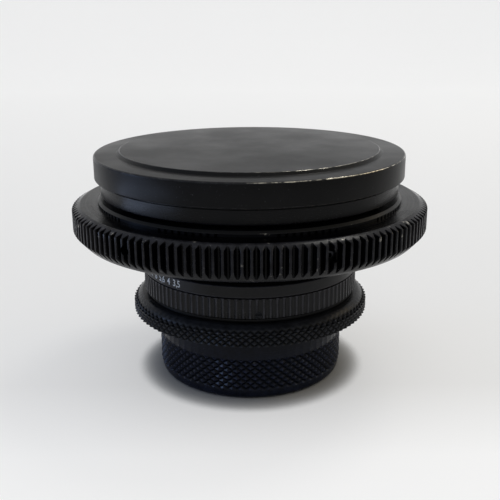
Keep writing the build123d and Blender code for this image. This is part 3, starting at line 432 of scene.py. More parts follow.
def flat_black():
    """Baffle paint, brushed on thin: very rough, with a fine tooth."""
    material, tree, shader = new_finish("flat_black_baffle_paint")
    tooth = noise(tree, TOOTH_MM)
    fill(tree, shader, {
        "Base Color": blend_colour(tree, noise(tree, 6.0), "#060607", "#0E0E10"),
        "Roughness": spread(tree, tooth, 0.72, 0.9),
        "Specular IOR Level": 0.15,
    })
    bump(tree, shader, tooth, TOOTH_DEPTH_MM)
    return material


BAFFLE_FINISH = flat_black()
print(BAFFLE_FINISH.name)

# %% [markdown]
# Bare metals: the mount's seat and lugs are stainless steel, turned to a fine finish, because the
# lens-to-sensor distance depends on them. The focus helicoid is brass against aluminium, greased. Screws
# are steel with a black oxide that wears to grey at the slots. Iris blades are thin steel, blackened.

# %% Turned metals
TARNISH_MM = 9.0
UNEVEN_POLISH = 0.05


def turned_metal(name, colour, tarnish, roughness, marks_mm, marks_depth_mm):
    """Bare turned metal: tool marks round the axis and a cloudy tarnish."""
    material, tree, shader = new_finish(name)
    cloud = spread(tree, noise(tree, TARNISH_MM, detail=4.0), 0.0, 1.0)
    fill(tree, shader, {
        "Base Color": blend_colour(tree, cloud, colour, tarnish),
        "Roughness": spread(tree, cloud, roughness - UNEVEN_POLISH, roughness + UNEVEN_POLISH, 0.0, 1.0),
        "Metallic": 1.0,
    })
    bump(tree, shader, tool_marks(tree, marks_mm), marks_depth_mm)
    return material


STEEL_FINISH = turned_metal("stainless_steel_turned", "#B9B8B6", "#9C9B9A", 0.24, 0.16, 0.003)
BRASS_FINISH = turned_metal("brass_turned_greased", "#B08D4C", "#8A6A36", 0.30, 0.20, 0.004)
SCREW_FINISH = turned_metal("steel_black_oxide", "#2A2B2E", "#1A1B1D", 0.38, 0.12, 0.002)
BLADE_FINISH = turned_metal("steel_blackened_rolled", "#26282D", "#1B1D22", 0.36, 0.5, 0.001)
print("metals", 4)

# %% [markdown]
# Lens glass is clear, and what one sees is its coating: a film a quarter of a wavelength thick, which
# turns the reflection violet or green. The shader has a thin film of its own for that. Fingerprints and
# dust make the roughness uneven by a trace.

# %% Coated glass
FILM_NM = 125.0
FILM_IOR = 1.38
GLASS_IOR = 1.52


def coated_glass():
    """Clear glass under a quarter-wave coating, with faint smears."""
    material, tree, shader = new_finish("optical_glass_coated")
    fill(tree, shader, {
        "Base Color": blend_colour(tree, noise(tree, 30.0), "#F4F8F6", "#EEF3F8"),
        "Roughness": spread(tree, noise(tree, 7.0, detail=5.0), 0.0, 0.03),
        "IOR": GLASS_IOR,
        "Transmission Weight": 1.0,
        "Thin Film Thickness": FILM_NM,
        "Thin Film IOR": FILM_IOR,
    })
    return material


GLASS_FINISH = coated_glass()
print(GLASS_FINISH.name)

# %% [markdown]
# The cap's liner is wool felt, pressed and glued in: matt fibres in every direction, so its colour is
# uneven at a fraction of a millimetre, and it has the soft bright edge that sheen gives.

# %% Felt and scale paint
FIBRE_MM, FIBRE_DEPTH_MM = 0.4, 0.06


def black_felt():
    """Pressed felt: short tangled fibres."""
    material, tree, shader = new_finish("wool_felt_pressed")
    fibres = noise(tree, FIBRE_MM, detail=6.0, rough=0.75)
    fill(tree, shader, {
        "Base Color": blend_colour(tree, fibres, "#0C0B0C", "#242224"),
        "Roughness": 0.95,
        "Sheen Weight": 0.25,
        "Sheen Roughness": 0.5,
    })
    bump(tree, shader, fibres, FIBRE_DEPTH_MM)
    return material


def scale_paint():
    """Engraving filled with off-white paint, greyed by handling."""
    material, tree, shader = new_finish("off_white_paint_filled")
    worn = noise(tree, 0.6, detail=4.0)
    fill(tree, shader, {
        "Base Color": blend_colour(tree, worn, "#8C9093", "#B7BABC"),
        "Roughness": spread(tree, worn, 0.5, 0.65),
    })
    return material


FELT_FINISH = black_felt()
SCALE_FINISH = scale_paint()
print(FELT_FINISH.name, SCALE_FINISH.name)

# %% [markdown]
# ## Finishes on the CAD pieces
#
# Every CAD node names a material slot in the record. The table says which finish stands for each slot,
# and each node's own slots are filled with it.

# %% Finish every CAD node
SLOT_FINISH = {
    "painted_cap": CAP_FINISH,
    "felt": FELT_FINISH,
    "cap_plastic": REAR_CAP_FINISH,
    "stainless": STEEL_FINISH,
    "screw_steel": SCREW_FINISH,
    "black_anodised": FRONT_BAND_FINISH,
    "gear_black": GEAR_FINISH,
    "flat_black": BAFFLE_FINISH,
    "brass": BRASS_FINISH,
    "blued_steel": BLADE_FINISH,
    "coated_glass": GLASS_FINISH,
}
node_slot = {part["node"]: part["material_slot"] for part in frame["record"]["subparts"]}
for node, piece in frame["nodes"].items():
    finish = SLOT_FINISH[node_slot[node]]
    if not piece.material_slots:
        piece.data.materials.append(finish)
    for slot in piece.material_slots:
        slot.material = finish
print(len(node_slot), "nodes finished")

# %% [markdown]
# ## Putting a piece in its place
#
# A dressed piece gets its finish, rides on the CAD body and hides the CAD node that it stands for.

# %% How a piece is handed over
def dress(piece, finish, body, node):
    """Finish a ring, let it ride on its body and let it stand for its CAD node."""
    piece.data.materials.clear()
    piece.data.materials.append(finish)
    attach(piece, body)
    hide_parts(node)
    return piece


# %% [markdown]
# ## Front cap
#
# A slip-on cap with a raised disc. On the lathe this is one outline. The rim and the edge of the disc
# have soft radii, which is where the paint is chipped.

# %% Front cap
CAP_R = 49.3
CAP_BOTTOM_Z = 66.1
CAP_RIM_Z = 73.2
CAP_TOP_Z = 74.2
DISC_FOOT_R = 42.2
DISC_TOP_R = 41.2
CAP_INSIDE_R = 48.1
CAP_ROOF_Z = 71.2
CAP_RECESS_R = 40.0
CAP_RECESS_Z = 72.9

GRIP_AZIMUTH = 38.0
GRIP_FOCUS = 3
LEAST_WEAR = 0.95
GRIP_WEAR = 0.28


def rubbed_row(r, z, wear):
    """A circle whose edge is worn most at the front right, where the cap is pulled off."""
    row = []
    for azimuth in ROUND_STATIONS:
        grip = max(0.0, math.cos(math.radians(azimuth - GRIP_AZIMUTH))) ** GRIP_FOCUS
        row.append((azimuth, r, z, wear * (LEAST_WEAR + GRIP_WEAR * grip)))
    return row


cap_outline = softened([
    (0.0, CAP_TOP_Z, 0),
    (DISC_TOP_R, CAP_TOP_Z, 0.55),
    (DISC_FOOT_R, CAP_RIM_Z, 0.55),
    (CAP_R, CAP_RIM_Z, 0.65),
    (CAP_R, CAP_BOTTOM_Z, 0.25),
    (CAP_INSIDE_R, CAP_BOTTOM_Z, 0.15),
    (CAP_INSIDE_R, CAP_ROOF_Z, 0),
    (CAP_RECESS_R, CAP_ROOF_Z, 0),
    (CAP_RECESS_R, CAP_RECESS_Z, 0),
    (0.0, CAP_RECESS_Z, 0),
])
front_cap = as_object("front_cap_dressed", grid_shape([rubbed_row(*point) for point in cap_outline]))
dress(close_and_shade(front_cap), CAP_FINISH, "front_cap", "front_cap")

# %% [markdown]
# ## Front band with its filter thread
#
# The band is the 95 mm diameter that clamp-on accessories hold, and inside it is the thread for screw-in
# filters. The thread is a true helix: in the bore's rows the radius follows a V profile that climbs by
# one pitch a turn and fades out at both ends, as a single-point cut does.

# %% Front band
BAND_R = 47.5
BAND_Z = (61.0, 70.9)
SEAT_R = 46.9
SEAT_Z = 66.0
SEAM_Z = (65.2, 65.6)
SEAM_DEPTH = 0.4
SEAM_SLOPE = 0.05
THREAD_R = 42.5
THREAD_Z = (67.1, 70.4)
THREAD_PITCH = 0.75
THREAD_DEPTH = 0.42
THREAD_ROWS = 45
TRIM_SEAT_R = 42.0
TRIM_SEAT_Z = 66.4
SLEEVE_BORE_R = 41.75


def thread_row(z):
    """A circle of the bore, deeper where the thread's groove passes."""
    fade = min(1.0, (z - THREAD_Z[0]) / THREAD_PITCH, (THREAD_Z[1] - z) / THREAD_PITCH * 2)
    row = []
    for azimuth in ROUND_STATIONS:
        turn = (z / THREAD_PITCH - azimuth / 360) % 1.0
        crest = abs(2 * turn - 1)
        row.append((azimuth, THREAD_R + THREAD_DEPTH * fade * (1 - crest), z, 0.6 * crest * fade))
    return row


band_outer = softened([
    (SLEEVE_BORE_R, BAND_Z[0], 0),
    (BAND_R, BAND_Z[0], 0.35),
    (BAND_R, SEAM_Z[0], 0),
    (BAND_R - SEAM_DEPTH, SEAM_Z[0] + SEAM_SLOPE, 0),
    (BAND_R - SEAM_DEPTH, SEAM_Z[1] - SEAM_SLOPE, 0),
    (BAND_R, SEAM_Z[1], 0),
    (BAND_R, SEAT_Z, 0.1),
    (SEAT_R, SEAT_Z, 0),
    (SEAT_R, BAND_Z[1], 0.35),
    (THREAD_R, BAND_Z[1], 0),
])
thread_z = [THREAD_Z[1] - i * (THREAD_Z[1] - THREAD_Z[0]) / THREAD_ROWS for i in range(THREAD_ROWS + 1)]
band_rows = [round_row(*point) for point in band_outer[:-1]]
band_rows += [round_row(THREAD_R + BAND_Z[1] - THREAD_Z[1], BAND_Z[1], 1.0)]
band_rows += [thread_row(z) for z in thread_z]
band_rows += [round_row(TRIM_SEAT_R, THREAD_Z[0]), round_row(TRIM_SEAT_R, TRIM_SEAT_Z)]
band_rows += [round_row(SLEEVE_BORE_R, TRIM_SEAT_Z)]
front_barrel = as_object("front_band_dressed", grid_shape(band_rows))
dress(close_and_shade(front_barrel), FRONT_BAND_FINISH, "optical_block", "front_barrel")

# %% [markdown]
# ## Follow-focus gear
#
# A spur gear of module 0.8 with 140 teeth, milled through a rim with a bevel on each side. One pitch of
# it is enough: ten points across, from the middle of one gap to the middle of the next.

# %% Points across one tooth
GEAR_MODULE = 0.8
GEAR_TEETH = 140
GEAR_DEDENDUM = 1.25
GEAR_TIP_R = GEAR_MODULE * (GEAR_TEETH + 2) / 2
GEAR_ROOT_R = GEAR_TIP_R - (1 + GEAR_DEDENDUM) * GEAR_MODULE
GEAR_BORE_R = 48.65
GEAR_Z = (47.3, 58.15)
GEAR_FACE_Z = (50.4, 56.75)
GEAR_FLAT_R = (54.0, 54.2)
GEAR_FIRST = 0.5
GEAR_CHAMFER = 0.11
FLANK_SHARE = 0.12
PRESSURE_ANGLE = math.radians(20)
EDGE_SHARE = 0.95
EDGE_Z = 0.12

gear_pitch = 360 / GEAR_TEETH
half_thickness = math.pi * GEAR_MODULE / 4
half_tip = half_thickness - GEAR_MODULE * math.tan(PRESSURE_ANGLE)
half_root = half_thickness + GEAR_DEDENDUM * GEAR_MODULE * math.tan(PRESSURE_ANGLE)


def tooth_stations(root, tip, chamfer):
    """Azimuths across one pitch: gap, foot, flank, edge, land, and back."""
    right = [tip - chamfer, tip, tip + (root - tip) * FLANK_SHARE, root, gear_pitch / 2]
    return [-azimuth for azimuth in reversed(right)] + right


gear_stations = tooth_stations(
    math.degrees(half_root / GEAR_ROOT_R),
    math.degrees(half_tip / GEAR_TIP_R),
    math.degrees(GEAR_CHAMFER / GEAR_TIP_R),
)


def tooth_row(tip_r, z, wear=1.0):
    """A row across a full tooth."""
    edge_r = tip_r - GEAR_CHAMFER
    half_radii = [GEAR_ROOT_R, GEAR_ROOT_R, edge_r - (edge_r - GEAR_ROOT_R) * FLANK_SHARE, edge_r, tip_r]
    half_worn = [0.0, 0.0, 0.0, wear, 0.55 * wear]
    radii = half_radii + half_radii[::-1]
    worn = half_worn + half_worn[::-1]
    return [(azimuth, r, z, w) for azimuth, r, w in zip(gear_stations, radii, worn)]


def gathered_row(r, z, wear=0.0):
    """A row in which the tooth's points have come together at its feet."""
    start, foot, *_, far_foot, end = gear_stations
    return plain_row([start] + [foot] * 4 + [far_foot] * 4 + [end], r, z, wear)


print("azimuths across a tooth", [round(azimuth, 2) for azimuth in gear_stations])

# %% [markdown]
# Up the rim the rows follow the bevels. Where a bevel is lower than the gap, all ten points lie on one
# cone, and between there and the full face the points of the flank come together, which gives the
# grooves the pointed ends that the real ones have.

# %% One pitch of the gear
def on_bevel(side, share):
    """A point part of the way along the lower bevel, side 0, or the upper one, side 1."""
    start, end = (GEAR_FLAT_R[side], GEAR_Z[side]), (GEAR_TIP_R, GEAR_FACE_Z[side])
    return tuple(a + (b - a) * share for a, b in zip(start, end))


root_share = [(GEAR_ROOT_R - flat_r) / (GEAR_TIP_R - flat_r) for flat_r in GEAR_FLAT_R]
below_teeth = [
    (GEAR_BORE_R, GEAR_Z[0]),
    (GEAR_FLAT_R[0] - 0.1, GEAR_Z[0], 0.2),
    (*on_bevel(0, 0.03), 0.6),
]
above_teeth = [
    (*on_bevel(1, 0.05), 0.6),
    (GEAR_FLAT_R[1] - 0.12, GEAR_Z[1], 0.3),
    (GEAR_FLAT_R[1] - 0.5, GEAR_Z[1]),
    (GEAR_BORE_R, GEAR_Z[1]),
]
gear_rows = [plain_row(gear_stations, *point) for point in below_teeth] + [
    gathered_row(*on_bevel(0, root_share[0]), 0.1),
    tooth_row(*on_bevel(0, EDGE_SHARE), 0.6),
    tooth_row(GEAR_TIP_R, GEAR_FACE_Z[0] + EDGE_Z),
    tooth_row(GEAR_TIP_R, GEAR_FACE_Z[1] - EDGE_Z),
    tooth_row(*on_bevel(1, EDGE_SHARE)),
    gathered_row(*on_bevel(1, root_share[1]), 0.9),
] + [plain_row(gear_stations, *point) for point in above_teeth]
focus_gear = as_object("focus_gear_dressed", grid_shape(gear_rows))
repeated(focus_gear, GEAR_TEETH, GEAR_FIRST, gear_pitch, GEAR_FINISH)
close_and_shade(focus_gear)

# %% [markdown]
# Six socket set screws clamp the gear to the focus ring. Their holes are drilled through the teeth, so
# they are cut with a Boolean from plugs that the same tree sets round the axis.

# %% Drill the set-screw holes
SET_SCREW_R = 1.5
SET_SCREW_COUNT = 6
SET_SCREW_AZIMUTH = -36.9
SET_SCREW_Z = 53.5
PLUG_SIDES = 24


def radial_plug(name, r, z, from_r, to_r):
    """A round plug that points at the axis, at azimuth 0."""
    shape = bmesh.new()
    middle = (from_r + to_r) / 2 * MM
    place = Matrix.Translation((0, -middle, z * MM)) @ Matrix.Rotation(math.pi / 2, 4, "X")
    bmesh.ops.create_cone(
        shape, cap_ends=True, segments=PLUG_SIDES, radius1=r * MM, radius2=r * MM,
        depth=(to_r - from_r) * MM, matrix=place)
    return as_object(name, shape)


def drill(piece, plug):
    """Cut the plug out of the piece, and remove the plug."""
    modifier = piece.modifiers.new("drill", "BOOLEAN")
    modifier.operation = "DIFFERENCE"
    modifier.solver = "EXACT"
    modifier.object = plug
    apply_modifiers(piece)
    bpy.data.objects.remove(plug)
    return piece


plugs = radial_plug("gear_plugs", SET_SCREW_R, SET_SCREW_Z, GEAR_BORE_R - 1, GEAR_TIP_R + 1)
repeated(plugs, SET_SCREW_COUNT, SET_SCREW_AZIMUTH, 360 / SET_SCREW_COUNT, GEAR_FINISH)
dress(close_and_shade(drill(focus_gear, plugs)), GEAR_FINISH, "focus", "focus_gear")

# %% [markdown]
# ## Focus ring
#
# The ring stands a little above the gear. Its grip is nine groups of short notches, cut with a small
# cutter that runs out just below the smooth rim. The slice is one group of 40 degrees: the stations
# carry the notches, and the rows say at which height a notch has its full depth.

# %% Focus ring
FOCUS_R = 48.6
FOCUS_Z = (46.3, 59.7)
FOCUS_FLOOR_Z = 48.5
FOCUS_BORE_R = 43.5
FOCUS_BEARING_R = 31.66
FOCUS_BEVEL = 1.2
FOCUS_CHAMFER = 0.75
STOP_GROOVE_R = (33.65, 35.35)
STOP_GROOVE_Z = 47.4
GROUPS = 9
GROUP_AZIMUTH = 19.2
NOTCHES = 9
NOTCH_PITCH = 2.5
NOTCH_DEPTH = 0.7
NOTCH_MOUTH = 1.16
NOTCH_FLOOR = 0.5
NOTCH_RUN_OUT_Z = (58.30, 58.85)
SMOOTH_STEP = 2.0
RIM_WEAR = 0.5
NOTCH_WEAR = 0.7

group_angle = 360 / GROUPS
first_notch = -(NOTCHES - 1) * NOTCH_PITCH / 2
notch = ((-NOTCH_MOUTH / 2, 0), (-NOTCH_FLOOR / 2, 1), (NOTCH_FLOOR / 2, 1), (NOTCH_MOUTH / 2, 0))
group_stations = [(first_notch + i * NOTCH_PITCH + x, cut) for i in range(NOTCHES) for x, cut in notch]
smooth_steps = int((group_angle / 2 + first_notch - NOTCH_MOUTH) / SMOOTH_STEP)
for i in range(smooth_steps + 1):
    group_stations.insert(i, (-group_angle / 2 + i * SMOOTH_STEP, 0))
    group_stations.insert(len(group_stations) - i, (group_angle / 2 - i * SMOOTH_STEP, 0))


def grip_row(r, z, depth=0.0, wear=0.0):
    """A row of the focus ring; depth is how deep the notches are there."""
    edge = NOTCH_WEAR if depth else 0.0
    return [(azimuth, r - cut * depth, z, wear + edge * (1 - cut)) for azimuth, cut in group_stations]


floor_r = FOCUS_R - NOTCH_DEPTH
chamfer_z = FOCUS_Z[1] - FOCUS_CHAMFER
focus_outline = [
    (FOCUS_BEARING_R, FOCUS_Z[0]),
    (STOP_GROOVE_R[0], FOCUS_Z[0]),
    (STOP_GROOVE_R[0], STOP_GROOVE_Z),
    (STOP_GROOVE_R[1], STOP_GROOVE_Z),
    (STOP_GROOVE_R[1], FOCUS_Z[0]),
    (FOCUS_R - FOCUS_BEVEL, FOCUS_Z[0]),
    (floor_r, FOCUS_Z[0] + FOCUS_BEVEL - NOTCH_DEPTH),
    (FOCUS_R, FOCUS_Z[0] + FOCUS_BEVEL, NOTCH_DEPTH),
    (FOCUS_R, NOTCH_RUN_OUT_Z[0], NOTCH_DEPTH),
    (FOCUS_R, NOTCH_RUN_OUT_Z[1], 0.0, RIM_WEAR),
    (FOCUS_R, chamfer_z, 0.0, RIM_WEAR),
    (FOCUS_R - 0.06, chamfer_z + 0.06, 0.0, 0.9),
    (FOCUS_R - 0.16, chamfer_z + 0.16),
    (FOCUS_R - FOCUS_CHAMFER, FOCUS_Z[1]),
    (FOCUS_BORE_R, FOCUS_Z[1]),
    (FOCUS_BORE_R, FOCUS_FLOOR_Z),
    (FOCUS_BEARING_R, FOCUS_FLOOR_Z),
]
focus_ring = as_object("focus_ring_dressed", grid_shape([grip_row(*point) for point in focus_outline]))
repeated(focus_ring, GROUPS, GROUP_AZIMUTH, group_angle, FOCUS_FINISH)
dress(close_and_shade(focus_ring), FOCUS_FINISH, "focus", "focus_ring")

# %% [markdown]
# ## Aperture ring
#
# Below is a grip of 108 flutes, above a smooth band for the scale, with a saw-cut groove between them.
# A flute is hollow, because a round cutter makes it, and the cutter's run-out gives its upper end an arch.
# Here the arch is the flute growing narrower and shallower towards the groove. The drive screw sits in
# a drilled hole near the front.

# %% Aperture ring
APERTURE_R = 35.07
APERTURE_BORE_R = 33.56
APERTURE_Z = (28.9, 39.1)
RIB_TOP_Z = 35.2
GROOVE_TOP_Z = 35.6
GROOVE_R = 34.5
RIBS = 108
RIB_DEPTH = 0.45
RIB_LAND = 0.18
RIB_FOOT = 0.2
FLUTE_STEPS = 6
ARCH = ((0.8, 1.0), (0.45, 0.94), (0.2, 0.76), (0.06, 0.45))
DRIVE_AZIMUTH = 4.2
DRIVE_Z = 30.2
DRIVE_HOLE_R = 1.05
EDGE_WEAR = 0.7

rib_pitch = 360 / RIBS
rib_stations = [rib_pitch * (i / (2 * FLUTE_STEPS + 2) - 0.5) for i in range(2 * FLUTE_STEPS + 3)]


def flute_row(z, opening=1.0, foot=0.0):
    """A row across one rib: flute, rib, flute; opening makes the flute narrower and shallower."""
    half = (1 - RIB_LAND) / 2 * opening
    row = []
    for i in range(-FLUTE_STEPS - 1, FLUTE_STEPS + 2):
        across = max(0, abs(i) - 1) / FLUTE_STEPS
        share = 0.5 - half * (1 - across) if i else 0.0
        depth = RIB_DEPTH * opening * (1 - (1 - across) ** 2)
        worn = 1.0 if abs(i) == 1 else 0.5 if i == 0 else 0.0
        row.append((math.copysign(share, i) * rib_pitch, APERTURE_R - max(depth, foot), z, worn))
    return row


aperture_outline = [
    (APERTURE_R, RIB_TOP_Z, 0.6),
    (GROOVE_R, RIB_TOP_Z),
    (GROOVE_R, GROOVE_TOP_Z),
    (APERTURE_R - 0.06, GROOVE_TOP_Z, EDGE_WEAR),
    (APERTURE_R, GROOVE_TOP_Z + 0.06, EDGE_WEAR),
    (APERTURE_R, GROOVE_TOP_Z + 0.3),
    (APERTURE_R, APERTURE_Z[1] - 0.3),
    (APERTURE_R, APERTURE_Z[1] - 0.2, EDGE_WEAR),
    (APERTURE_R - 0.2, APERTURE_Z[1], EDGE_WEAR),
    (APERTURE_BORE_R, APERTURE_Z[1]),
]
aperture_rows = [plain_row(rib_stations, APERTURE_BORE_R, APERTURE_Z[0])]
aperture_rows += [flute_row(APERTURE_Z[0], foot=RIB_DEPTH), flute_row(APERTURE_Z[0] + RIB_FOOT)]
aperture_rows += [flute_row(RIB_TOP_Z - below, opening) for below, opening in ARCH]
aperture_rows += [plain_row(rib_stations, *point) for point in aperture_outline]
aperture_ring = as_object("aperture_ring_dressed", grid_shape(aperture_rows))
repeated(aperture_ring, RIBS, 0.0, rib_pitch, APERTURE_FINISH)
close_and_shade(aperture_ring)
drive_plug = radial_plug("drive_plug", DRIVE_HOLE_R, DRIVE_Z, APERTURE_BORE_R - 1, APERTURE_R + 1)
repeated(drive_plug, 1, DRIVE_AZIMUTH, 0.0, APERTURE_FINISH)
dress(close_and_shade(drill(aperture_ring, drive_plug)), APERTURE_FINISH, "aperture", "aperture_ring")

# %% [markdown]
# ## Diamond knurls
#
# A knurling wheel pair presses two sets of slanting grooves, and what stays between them are small
# pyramids with diamond bases and slightly flattened tips. One column of them is modelled, one diamond
# wide. Between two lines of tips lie four rows of five points. The quads there are not flat, so each is
# split along the groove or along the flat of the tip, and the direction of the split changes with every
# half diamond. The wheels follow the work, so the rows are counted along a surface line: at each length
# along it the surface says where its point is, which way is out and how deep the grooves are.

# %% A column of knurl
def knurl_column(pitch, surface, span, halves, tip_share):
    """Rows and splits of one column, from the line of tips at span[0] to the one at span[1]."""
    half = pitch / 2
    rise = (span[1] - span[0]) / halves
    tip = tip_share * half
    wide = half - tip
    ridge = 1 - tip_share / (1 - tip_share)
    tip_line = ((-half, 1), (-tip, 0), (0, 0), (tip, 0), (half, 1))
    above_tip = ((-half, ridge), (-wide, 1), (0, 0), (wide, 1), (half, ridge))
    below_gap = ((-half, 0), (-tip, 1), (0, ridge), (tip, 1), (half, 0))
    gap_line = ((-half, 0), (-wide, 0), (0, 1), (wide, 0), (half, 0))
    rows, leans = [], []

    def add_row(points, along, lean):
        r, z, out_r, out_z, depth = surface(along)
        rows.append([(a, r - out_r * depth * d, z - out_z * depth * d, float(d == 0)) for a, d in points])
        leans.append(lean)

    for i in range(halves):
        up = i % 2 == 0
        foot = span[0] + i * rise
        parts = (tip_line, above_tip, below_gap) if up else (gap_line, below_gap, above_tip)
        for points, along in zip(parts, (foot, foot + tip_share * rise, foot + (1 - tip_share) * rise)):
            add_row(points, along, 1 if up else -1)
    add_row(tip_line if halves % 2 == 0 else gap_line, span[1], 0)
    return rows, leans


def knurled_ring(name, count, column, plain, finish):
    """A whole ring from one column of knurl and the plain rows that close its section."""
    rows, leans = column
    stations = [azimuth for azimuth, _, _, _ in rows[0]]
    rows = rows + [plain_row(stations, *point) for point in plain]
    leans = leans + [0] * len(plain)
    piece = as_object(name, grid_shape(rows, leans))
    return close_and_shade(repeated(piece, count, 0.0, 360 / count, finish))


# %% [markdown]
# ## Lock ring
#
# It pulls the camera's lugs against the seat, so it is knurled for grip: a hundred diamonds round. The
# wheels went over the edge onto the cone, and ran out before the top of it.

# %% Lock ring
LOCK_R = 38.75
LOCK_Z = (21.5, 27.5)
LOCK_CONE_R = 36.0
LOCK_CONE_Z = 25.0
LOCK_SPAN = (21.6, 26.9)
LOCK_RUN_OUT = 25.8
LOCK_DEPTH = 0.55
LOCK_COLUMNS = 100
LOCK_HALVES = 5
LOCK_BORE_R = 33.06
LOCK_CHAMBER = (34.7, 25.0)
LOCK_GROOVE = (34.5, 26.2)
LUG_RECESS = (37.05, 22.9)
TIP_SHARE = 0.2
BEND_Z = 0.5
RUN_OUT_SLOPE = 0.7


def lock_surface(along):
    """Outside of the lock ring: a cylinder up to the edge, then the cone."""
    run = (LOCK_R - LOCK_CONE_R, LOCK_Z[1] - LOCK_CONE_Z)
    slope = math.hypot(*run)
    past = max(0.0, along - LOCK_CONE_Z)
    bend = min(1.0, max(0.0, (along - LOCK_CONE_Z) / BEND_Z * 0.5 + 0.5))
    out_r, out_z = 1 - bend * (1 - run[1] / slope), bend * run[0] / slope
    depth = LOCK_DEPTH * (1 - max(0.0, along - LOCK_RUN_OUT) * RUN_OUT_SLOPE)
    r = LOCK_R - past * run[0] / slope
    return r, min(along, LOCK_CONE_Z) + past * run[1] / slope, out_r, out_z, depth


lock_column = knurl_column(360 / LOCK_COLUMNS, lock_surface, LOCK_SPAN, LOCK_HALVES, TIP_SHARE)
lock_plain = [
    (*lock_surface(LOCK_SPAN[1] + 0.25)[:2], 0.5),
    (LOCK_CONE_R + 0.1, LOCK_Z[1] - 0.09, 0.5),
    (LOCK_CONE_R - 0.1, LOCK_Z[1], 0.5),
    (LOCK_BORE_R, LOCK_Z[1]),
    (LOCK_BORE_R, LOCK_GROOVE[1]),
    LOCK_GROOVE,
    (LOCK_GROOVE[0], LOCK_CHAMBER[1]),
    LOCK_CHAMBER,
    (LOCK_CHAMBER[0], LUG_RECESS[1]),
    LUG_RECESS,
    (LUG_RECESS[0], LOCK_Z[0]),
    (LOCK_R - LOCK_DEPTH - 0.05, LOCK_Z[0], 0.2),
]
lock_ring = knurled_ring("lock_ring_dressed", LOCK_COLUMNS, lock_column, lock_plain, LOCK_FINISH)
dress(lock_ring, LOCK_FINISH, "lock_ring", "lock_ring")

# %% [markdown]
# ## Rear cap
#
# The lens stands on it. Its wall is smooth above and knurled below, with larger diamonds than the lock
# ring, and the bottom edge is well rounded.

# %% Rear cap
REAR_R = 30.2
REAR_KNURL_R = 30.5
REAR_DEPTH = 0.65
REAR_TOP_Z = 21.2
REAR_KNURL_Z = (3.4, 13.2)
REAR_COLUMNS = 66
REAR_HALVES = 8
REAR_BORE_R = 27.1
REAR_FLOOR_Z = 3.0
REAR_BOTTOM_RADIUS = 2.0
FILLET_STEPS = 6
FILLET_WEAR = 0.4


def rear_surface(along):
    """The knurled band of the rear cap is a plain cylinder."""
    return REAR_KNURL_R, along, 1.0, 0.0, REAR_DEPTH


rear_column = knurl_column(360 / REAR_COLUMNS, rear_surface, REAR_KNURL_Z, REAR_HALVES, TIP_SHARE)
rear_plain = [
    (REAR_R, REAR_KNURL_Z[1] + 0.25, 0.3),
    (REAR_R, REAR_TOP_Z - 0.25),
    (REAR_R - 0.08, REAR_TOP_Z - 0.08, 0.9),
    (REAR_R - 0.25, REAR_TOP_Z, 0.2),
    (REAR_BORE_R, REAR_TOP_Z),
    (REAR_BORE_R, REAR_FLOOR_Z),
    (0.0, REAR_FLOOR_Z),
    (0.0, 0.0),
]
for i in range(FILLET_STEPS + 1):
    lean = math.pi / 2 * i / FILLET_STEPS
    r = REAR_R - REAR_BOTTOM_RADIUS * (1 - math.sin(lean))
    rear_plain.append((r, REAR_BOTTOM_RADIUS * (1 - math.cos(lean)), FILLET_WEAR))
rear_plain.append((REAR_R, REAR_KNURL_Z[0] - 0.3, 0.3))
rear_cap = knurled_ring("rear_cap_dressed", REAR_COLUMNS, rear_column, rear_plain, REAR_CAP_FINISH)
dress(rear_cap, REAR_CAP_FINISH, "rear_cap", "rear_cap")

# %% [markdown]
# ## Scale numbers
#
# The aperture band carries plain stops, 5.6 degrees apart. They are engraved and filled with paint, so
# they are real pieces here: each number is set as text, made a mesh, and bent round the band by reading
# its sideways place as an angle.

# %% Numbers on the aperture band
STOPS = ("3,5", "4", "5,6", "8", "11", "16", "22")
STOP_AZIMUTH = -39.2
STOP_PITCH = -5.6
DIGIT_HEIGHT = 3.0
DIGIT_WIDTH_SHARE = 0.85
DIGIT_STROKE = 0.04
DIGIT_Z = 37.35
PAINT_THICKNESS = 0.015


def add_number(shape, text, azimuth):
    """Set one number, bend it round the aperture band and add it to the shape."""
    curve = bpy.data.curves.new("number_" + text.replace(",", "_"), "FONT")
    curve.body = text
    curve.size = DIGIT_HEIGHT
    curve.align_x = curve.align_y = "CENTER"
    curve.extrude = PAINT_THICKNESS
    curve.offset = DIGIT_STROKE
    curve.resolution_u = 4
    holder = in_scene(curve.name, curve)
    flat = bpy.data.meshes.new_from_object(holder.evaluated_get(bpy.context.evaluated_depsgraph_get()))
    bpy.data.objects.remove(holder)
    for vertex in flat.vertices:
        across, up, out = vertex.co
        r = (APERTURE_R + out) * MM
        angle = math.radians(azimuth) + across * DIGIT_WIDTH_SHARE / APERTURE_R
        vertex.co = (r * math.sin(angle), -r * math.cos(angle), (DIGIT_Z + up) * MM)
    shape.from_mesh(flat)
    bpy.data.meshes.remove(flat)


scale_shape = bmesh.new()
for i, stop in enumerate(STOPS):
    add_number(scale_shape, stop, STOP_AZIMUTH + i * STOP_PITCH)
aperture_numbers = close_and_shade(as_object("aperture_numbers", scale_shape))
aperture_numbers.data.materials.append(SCALE_FINISH)
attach(aperture_numbers, "aperture")

# %% [markdown]
# The numbers are read against one index line on the fixed barrel's ledge, just above the band.

# %% Index line
INDEX_AZIMUTH = -39.2
INDEX_R = (32.0, 33.45)
INDEX_Z = (39.39, 39.42)
INDEX_WIDTH = 0.35

